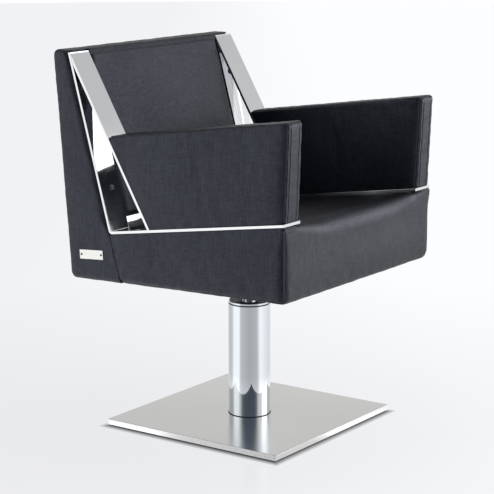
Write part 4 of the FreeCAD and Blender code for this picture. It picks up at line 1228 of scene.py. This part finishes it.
def button_screw(radius, height, socket, count=48):
    """Button head with a six-sided socket."""
    rings = [circle(radius * 0.97, 0, count), circle(radius, height * 0.12, count)]
    for k in range(1, 7):
        t = math.pi / 2 * k / 7
        rings.append(circle(radius * (0.45 + 0.55 * math.cos(t)),
                            height * (0.12 + 0.88 * math.sin(t)), count))
    # share of the socket radius, share of the height
    for across, up in ((1.08, 1), (1, 0.94), (0.98, 0.25), (0.3, 0.16)):
        rings.append(hexagon(socket * across, height * up, count))
    return skin_rings(rings)


def slotted_screw(radius, height, count=40):
    # share of the radius, share of the height
    profile = [(1, 0), (1, 0.35), (0.86, 0.75), (0.6, 0.95), (0.25, 1)]
    verts, faces = skin_rings([circle(radius * r, height * z, count) for r, z in profile])
    verts = [(x, y, height * 0.45 if abs(y) < radius * 0.16 and z > height * 0.5 else z)
             for x, y, z in verts]
    return verts, faces


def rounded_plate(length, width, thick, corner, count=6, bevel=0.0003):
    """Flat plate with round corners in local XY, thickness along Z, eased upper edge."""
    outline = []
    for sx, sy, start in ((1, 1, 0), (-1, 1, 90), (-1, -1, 180), (1, -1, 270)):
        centre_x, centre_y = sx * (length / 2 - corner), sy * (width / 2 - corner)
        for k in range(count + 1):
            a = math.radians(start + 90 * k / count)
            cos, sin = math.cos(a), math.sin(a)
            outline.append((centre_x + corner * cos, centre_y + corner * sin, cos, sin))
    levels = ((0, 0), (thick - bevel, 0), (thick - bevel * 0.3, bevel * 0.3), (thick, bevel))
    return skin_rings([[(x - cos * inset, y - sin * inset, z) for x, y, cos, sin in outline]
                       for z, inset in levels])


def leg_screws():
    """Two screw heads on the rear face of each leg."""
    lean = math.radians(LEG_LEAN)
    turn = Matrix.Rotation(math.radians(90) - lean, 4, "X")
    head = button_screw(radius=0.0065, height=0.0032, socket=0.0023)
    parts = []
    for sx in (-1, 1):
        for up in (0.095, 0.303):
            y = BEND[0] + up * math.sin(lean) - STRAP * math.cos(lean)
            z = BEND[1] + up * math.cos(lean) + STRAP * math.sin(lean)
            parts.append(place(head, Matrix.Translation((sx * 0.252, y, z)) @ turn))
    build_piece("leg_screw_heads", parts, DARKSCREW, "seat", "leg_screws")


def side_plate():
    """Blank plate and its two screws: local X along the plate, local Z outward (-X)."""
    along = Vector((0, -math.cos(PLATE_TILT), math.sin(PLATE_TILT)))
    outward = Vector((-1, 0, 0))
    turn = Matrix((along, outward.cross(along), outward)).transposed().to_4x4()
    plate = rounded_plate(0.064, 0.020, 0.0012, 0.0012)
    at = Matrix.Translation((-HALF + 0.0001, PLATE_Y, PLATE_Z))
    build_piece("side_plate", [place(plate, at @ turn)], TAG, "seat", "tag_plate",
                smooth=False)
    screw = slotted_screw(0.0024, 0.0011)
    parts = []
    for k in (-1, 1):
        centre = Vector((-HALF - 0.0011, PLATE_Y, PLATE_Z)) + along * (0.027 * k)
        slot_turn = Matrix.Rotation(0.6 * k, 4, "Z")
        parts.append(place(screw, Matrix.Translation(centre) @ turn @ slot_turn))
    build_piece("side_plate_screws", parts, DARKSCREW, "seat", "tag_screws")


def pedal_tread():
    """Rubber pad with six ribs, on the pedal's outer end."""
    reach, heading, rise = 0.155, math.radians(45), math.atan2(20, 139)
    at = Vector((reach * math.cos(heading), reach * math.sin(heading), 0.0795))
    turn = Matrix.Rotation(heading, 4, "Z") @ Matrix.Rotation(-rise, 4, "Y")
    frame_matrix = Matrix.Translation(at) @ turn
    parts = [place(rounded_plate(0.034, 0.032, 0.0062, 0.005, bevel=0.0012), frame_matrix)]
    rib = rounded_plate(0.0028, 0.026, 0.0024, 0.0012, count=4, bevel=0.0007)
    for k in range(6):
        shift = Matrix.Translation((-0.0125 + 0.005 * k, 0, 0.0058))
        parts.append(place(rib, frame_matrix @ shift))
    build_piece("pedal_tread", parts, RUBBER, "pedal", "pedal_pad",
                smooth=False)


leg_screws()
side_plate()
pedal_tread()

# ------------------------------------------------------------------ floor plate
cover_low, cover_high = box_of("base_cover")
PLATE_HALF, PLATE_TOP, PLATE_BOTTOM = cover_high[0], cover_high[2], cover_low[2]


def floor_plate_cover():
    """Folded tray with polished edges and a round hole for the column."""
    corner, hole_radius, square_half, hole_count = 0.0012, 0.043, 0.12, 64
    # inset from the outside, height
    rows = [(0, PLATE_BOTTOM), (0, PLATE_TOP - 0.0016), (0.0002, PLATE_TOP - 0.0008),
            (0.0008, PLATE_TOP - 0.0002), (0.0016, PLATE_TOP)]
    verts, faces = [], []       # faces: corner numbers, material slot
    for inset, z in rows:
        centre = PLATE_HALF - inset - corner
        for sx, sy, start in ((-1, -1, 180), (1, -1, 270), (1, 1, 0), (-1, 1, 90)):
            for k in range(4):
                a = math.radians(start + 30 * k)
                verts.append((sx * centre + corner * math.cos(a),
                              sy * centre + corner * math.sin(a), z))
    count = len(verts) // len(rows)
    for i in range(len(rows) - 1):
        for k in range(count):
            after = (k + 1) % count
            faces.append(((i * count + k, i * count + after, (i + 1) * count + after,
                           (i + 1) * count + k), 1 if i < 3 else 0))
    # the hole, and a square round it that is bridged to the outer edge
    hole = len(verts)
    verts += circle(hole_radius, PLATE_TOP, hole_count)
    square = len(verts)
    for x, y, z in circle(1, PLATE_TOP, hole_count):
        reach = max(abs(x), abs(y))
        verts.append((square_half * x / reach, square_half * y / reach, z))
    for k in range(hole_count):
        after = (k + 1) % hole_count
        faces.append(((square + k, square + after, hole + after, hole + k), 0))

    bm = bmesh.new()
    made = [bm.verts.new(v) for v in verts]
    for corners, slot in faces:
        bm.faces.new([made[i] for i in corners]).material_index = slot
    open_edges = []
    for e in bm.edges:
        start = e.verts[0].co
        level = all(abs(v.co.z - PLATE_TOP) < 1e-6 for v in e.verts)
        if len(e.link_faces) == 1 and level and max(abs(start.x), abs(start.y)) > 0.1:
            open_edges.append(e)
    for face in bmesh.ops.bridge_loops(bm, edges=open_edges)["faces"]:
        face.material_index = 0
    bmesh.ops.recalc_face_normals(bm, faces=bm.faces)
    mesh = bpy.data.meshes.new("floor_plate_cover")
    bm.to_mesh(mesh)
    bm.free()
    ob = link_object("floor_plate_cover", mesh)
    sheet = ob.modifiers.new("sheet", "SOLIDIFY")
    sheet.thickness = 0.0014
    sheet.offset = -1
    finish_piece(ob, [SATIN, EDGE], "stand", "base_cover")
    ob.modifiers.new("normals", "WEIGHTED_NORMAL").keep_sharp = True


def tray_fold_lines():
    """Thin upright ridge on the side face by each corner of the tray."""
    parts = []
    for sx in (-1, 1):
        for sy in (-1, 1):
            x, y = sx * (PLATE_HALF + 0.00005), sy * (PLATE_HALF - 0.0026)
            section = ((x - sx * 0.0003, y - 0.00035), (x - sx * 0.0003, y + 0.00035),
                       (x + sx * 0.00012, y))
            verts = [(*point, z) for z in (PLATE_BOTTOM, PLATE_TOP - 0.001) for point in section]
            parts.append((verts, [(0, 1, 2), (3, 5, 4), (0, 2, 5, 3), (2, 1, 4, 5),
                                  (1, 0, 3, 4)]))
    build_piece("tray_fold_lines", parts, IRON, "stand", None, smooth=False)


def column_foot_seal():
    """Thin black ring where the column stands on the plate."""
    low, high = box_of("column_shroud")
    radius = 0.5 * (high[0] - low[0])
    cx, cy = 0.5 * (high[0] + low[0]), 0.5 * (high[1] + low[1])
    # out from the column's surface, up from the plate
    section = [(-0.0006, -0.0002), (0.0013, -0.0002), (0.0013, 0.0006), (0.0008, 0.0012),
               (0.0001, 0.0014), (-0.0006, 0.0014)]
    turns, n = 96, len(section)
    verts, faces = [], []
    for k in range(turns):
        t, after = 2 * math.pi * k / turns, (k + 1) % turns
        for i, (out, up) in enumerate(section):
            r = radius + out
            verts.append((cx + r * math.cos(t), cy + r * math.sin(t), PLATE_TOP + up))
            j = (i + 1) % n
            faces.append((k * n + i, after * n + i, after * n + j, k * n + j))
    build_piece("column_foot_seal", [(verts, faces)], RUBBER, "stand", None)


floor_plate_cover()
tray_fold_lines()
column_foot_seal()

# ------------------------------------------------------------------ camera position and axes
CAMERA_AT = Vector((-3.1161294, -2.2145988, 1.1794027))
CAMERA_RIGHT = Vector((0.5800087, -0.8146079, -0.0019694))
CAMERA_UP = Vector((0.1655536, 0.1155079, 0.9794131))
CAMERA_FORWARD = Vector((0.7976101, 0.5683941, -0.2018569))

# Brightness of the surroundings by bearing: (degrees from the camera's side, brightness).
# The first is for the world, the second for the floor as other surfaces see it.
AROUND = [(-180, 0.92), (-150, 0.78), (-118, 0.66), (-104, 0.80), (-95, 1.20), (-60, 1.22),
          (-52, 0.95), (-42, 0.30), (-28, 0.08), (0, 0.05), (28, 0.07), (40, 0.30), (50, 1.00),
          (60, 1.20), (98, 1.12), (114, 0.98), (135, 0.84), (155, 0.94), (180, 0.92)]
NEAR_FLOOR = [(-180, 0.70), (-150, 0.66), (-112, 0.68), (-102, 0.80), (-94, 1.15), (-58, 1.20),
              (-50, 0.75), (-42, 0.62), (0, 0.50), (40, 0.58), (50, 0.85), (58, 1.16),
              (74, 1.12), (96, 1.00), (112, 0.94), (150, 0.84), (180, 0.76)]
PEAK = 1.3          # brightness that a ramp colour of 1 stands for


def by_bearing(sh, xyz, table):
    """Brightness from a table, looked up by the bearing of a vector's x, y, z sockets."""
    x, y = Vector((CAMERA_AT.x, CAMERA_AT.y)).normalized()
    toward = sh.add(sh.multiply(xyz[0], x), sh.multiply(xyz[1], y))
    across = sh.add(sh.multiply(xyz[0], -y), sh.multiply(xyz[1], x))
    turn = sh.remap(sh.math("ARCTAN2", across, toward), (-math.pi, math.pi), to=(0, 1))
    return sh.ramp(turn, [((a + 180) / 360, grey(v / PEAK)) for a, v in table])


def floor_material():
    material = bpy.data.materials.new("studio_floor")
    material.use_nodes = True
    sh = Shader(material.node_tree)
    position = sh.node("NewGeometry").outputs["Position"]
    distance = sh.operate("VectorMath", "LENGTH", position)
    rightward = sh.operate("VectorMath", "DOT_PRODUCT", position, CAMERA_RIGHT)

    # what the camera sees: a faint gloss near the chair, then a glow with painted shade, dimmer
    # towards the left
    gloss = sh.node("BsdfPrincipled", Base_Color=(0.88, 0.88, 0.89, 1), Roughness=0.16)
    floor_glow_dim_left = sh.node("Emission", Color=(0.97, 0.975, 1.0, 1),
                   Strength=sh.remap(rightward, (-0.7, 0.5), to=(0.91, 1.01)))
    seen = sh.mix_shader(sh.remap(distance, (0.4, 1.5), to=(0.80, 1.0)),
                         gloss.outputs[0], floor_glow_dim_left.outputs[0])
    # contact shadow round the plate
    spot = sh.node("SeparateXYZ", Vector=position).outputs
    off = sh.math("MAXIMUM", sh.math("ABSOLUTE", spot[0]), sh.math("ABSOLUTE", spot[1]))
    dark = sh.node("Emission", Color=(0.10, 0.105, 0.11, 1))
    shadow_span = (PLATE_HALF - 0.004, PLATE_HALF + 0.016)
    seen = sh.mix_shader(sh.remap(off, shadow_span, to=(1.0, 0.0)), seen, dark.outputs[0])

    # what other surfaces see
    xyz = sh.node("SeparateXYZ", Vector=position).outputs
    glow = sh.node("Emission", Color=by_bearing(sh, xyz, NEAR_FLOOR),
                   Strength=sh.remap(distance, (0.28, 0.42), to=(1.65, PEAK)))
    from_camera = sh.node("LightPath").outputs["Is Camera Ray"]
    sh.node("OutputMaterial", Surface=sh.mix_shader(from_camera, glow.outputs[0], seen))
    return material


def build_floor():
    bm = bmesh.new()
    bmesh.ops.create_circle(bm, cap_ends=True, segments=96, radius=14.0)
    mesh = bpy.data.meshes.new("floor")
    bm.to_mesh(mesh)
    bm.free()
    floor = link_object("floor", mesh)
    floor.location.z = -0.0002
    mesh.materials.append(floor_material())


def build_camera():
    camera = bpy.data.cameras.new("camera")
    camera.sensor_width = 36.0
    camera.lens = 129.59672794
    camera.clip_end = 60
    ob = link_object("camera", camera)
    columns = (CAMERA_RIGHT, CAMERA_UP, -CAMERA_FORWARD, CAMERA_AT)
    ob.matrix_world = Matrix((*([c[k] for c in columns] for k in range(3)), (0, 0, 0, 1)))
    bpy.context.scene.camera = ob


# ------------------------------------------------------------------ light
def softbox(name, azimuth, distance, height, width, tall, radiance):
    """Rectangle light aimed at the chair; azimuth is measured from the camera's side."""
    bearing = math.atan2(CAMERA_AT.y, CAMERA_AT.x) + math.radians(azimuth)
    position = Vector((math.cos(bearing) * distance, math.sin(bearing) * distance, height))
    aim = Vector((0, 0, 0.45))
    light = bpy.data.lights.new(name, "AREA")
    light.shape = "RECTANGLE"
    light.size, light.size_y = width, tall
    light.energy = radiance * width * tall * math.pi
    ob = link_object(name, light)
    turn = (aim - position).to_track_quat("-Z", "Y").to_matrix().to_4x4()
    ob.matrix_world = Matrix.Translation(position) @ turn
    return ob


def build_lights():
    softbox("key_right", azimuth=92, distance=2.7, height=1.3, width=2.0, tall=2.0,
            radiance=1.30)
    softbox("fill_left", azimuth=-78, distance=2.8, height=1.45, width=1.8, tall=1.8,
            radiance=0.35)
    softbox("overhead", azimuth=160, distance=0.9, height=2.7, width=1.6, tall=1.6,
            radiance=0.7)
    sheen = softbox("front_sheen", azimuth=117, distance=2.8, height=1.15, width=0.9, tall=1.3,
                    radiance=3.0)
    # the front sheen is for the seat and arm leather only
    skins = bpy.data.collections.new("seat_and_arm_skins")
    for name in ("arm_left", "arm_right", "seat"):
        skins.objects.link(bpy.data.objects[name + "_upholstery"])
    sheen.light_linking.receiver_collection = skins


def build_world():
    world = bpy.data.worlds.new("studio")
    bpy.context.scene.world = world
    world.use_nodes = True
    sh = Shader(world.node_tree)
    direction = sh.node("TexCoord").outputs["Generated"]

    # what lights the chair: the bearing table, turning bluish and dimmer overhead
    xyz = sh.node("SeparateXYZ", Vector=direction).outputs
    high = sh.remap(xyz[2], (0.18, 0.55), to=(0.0, 1.0))
    color = sh.mix_color("LIGHTEN", high, by_bearing(sh, xyz, AROUND), (0.20, 0.24, 0.33, 1))
    lift = sh.ramp(xyz[2], [(0.0, grey(1)), (0.16, grey(1)), (0.40, grey(0.72)),
                            (0.75, grey(0.50)), (1.0, grey(0.42))])
    lighting = sh.node("Background", Color=color, Strength=sh.multiply(lift, PEAK))

    # what the camera sees: near white, a little darker at lower left
    rightward = sh.operate("VectorMath", "DOT_PRODUCT", direction, CAMERA_RIGHT)
    upward = sh.node("SeparateXYZ", Vector=direction).outputs[2]
    leftish = sh.remap(rightward, (-0.14, 0.02), to=(1.0, 0.0))
    lowish = sh.remap(upward, (-0.10, -0.20), to=(0.0, 1.0))
    shade = sh.multiply(sh.multiply(leftish, lowish), 0.12)
    seen = sh.node("Background", Color=(0.995, 0.995, 1.0, 1),
                   Strength=sh.math("SUBTRACT", 1.0, shade))
    from_camera = sh.node("LightPath").outputs["Is Camera Ray"]
    mixed = sh.mix_shader(from_camera, lighting.outputs[0], seen.outputs[0])
    sh.node("OutputWorld", Surface=mixed)


build_floor()
build_camera()
build_lights()
build_world()

view = bpy.context.scene.view_settings
view.view_transform = "Standard"
view.look = "None"
view.exposure = 0.0
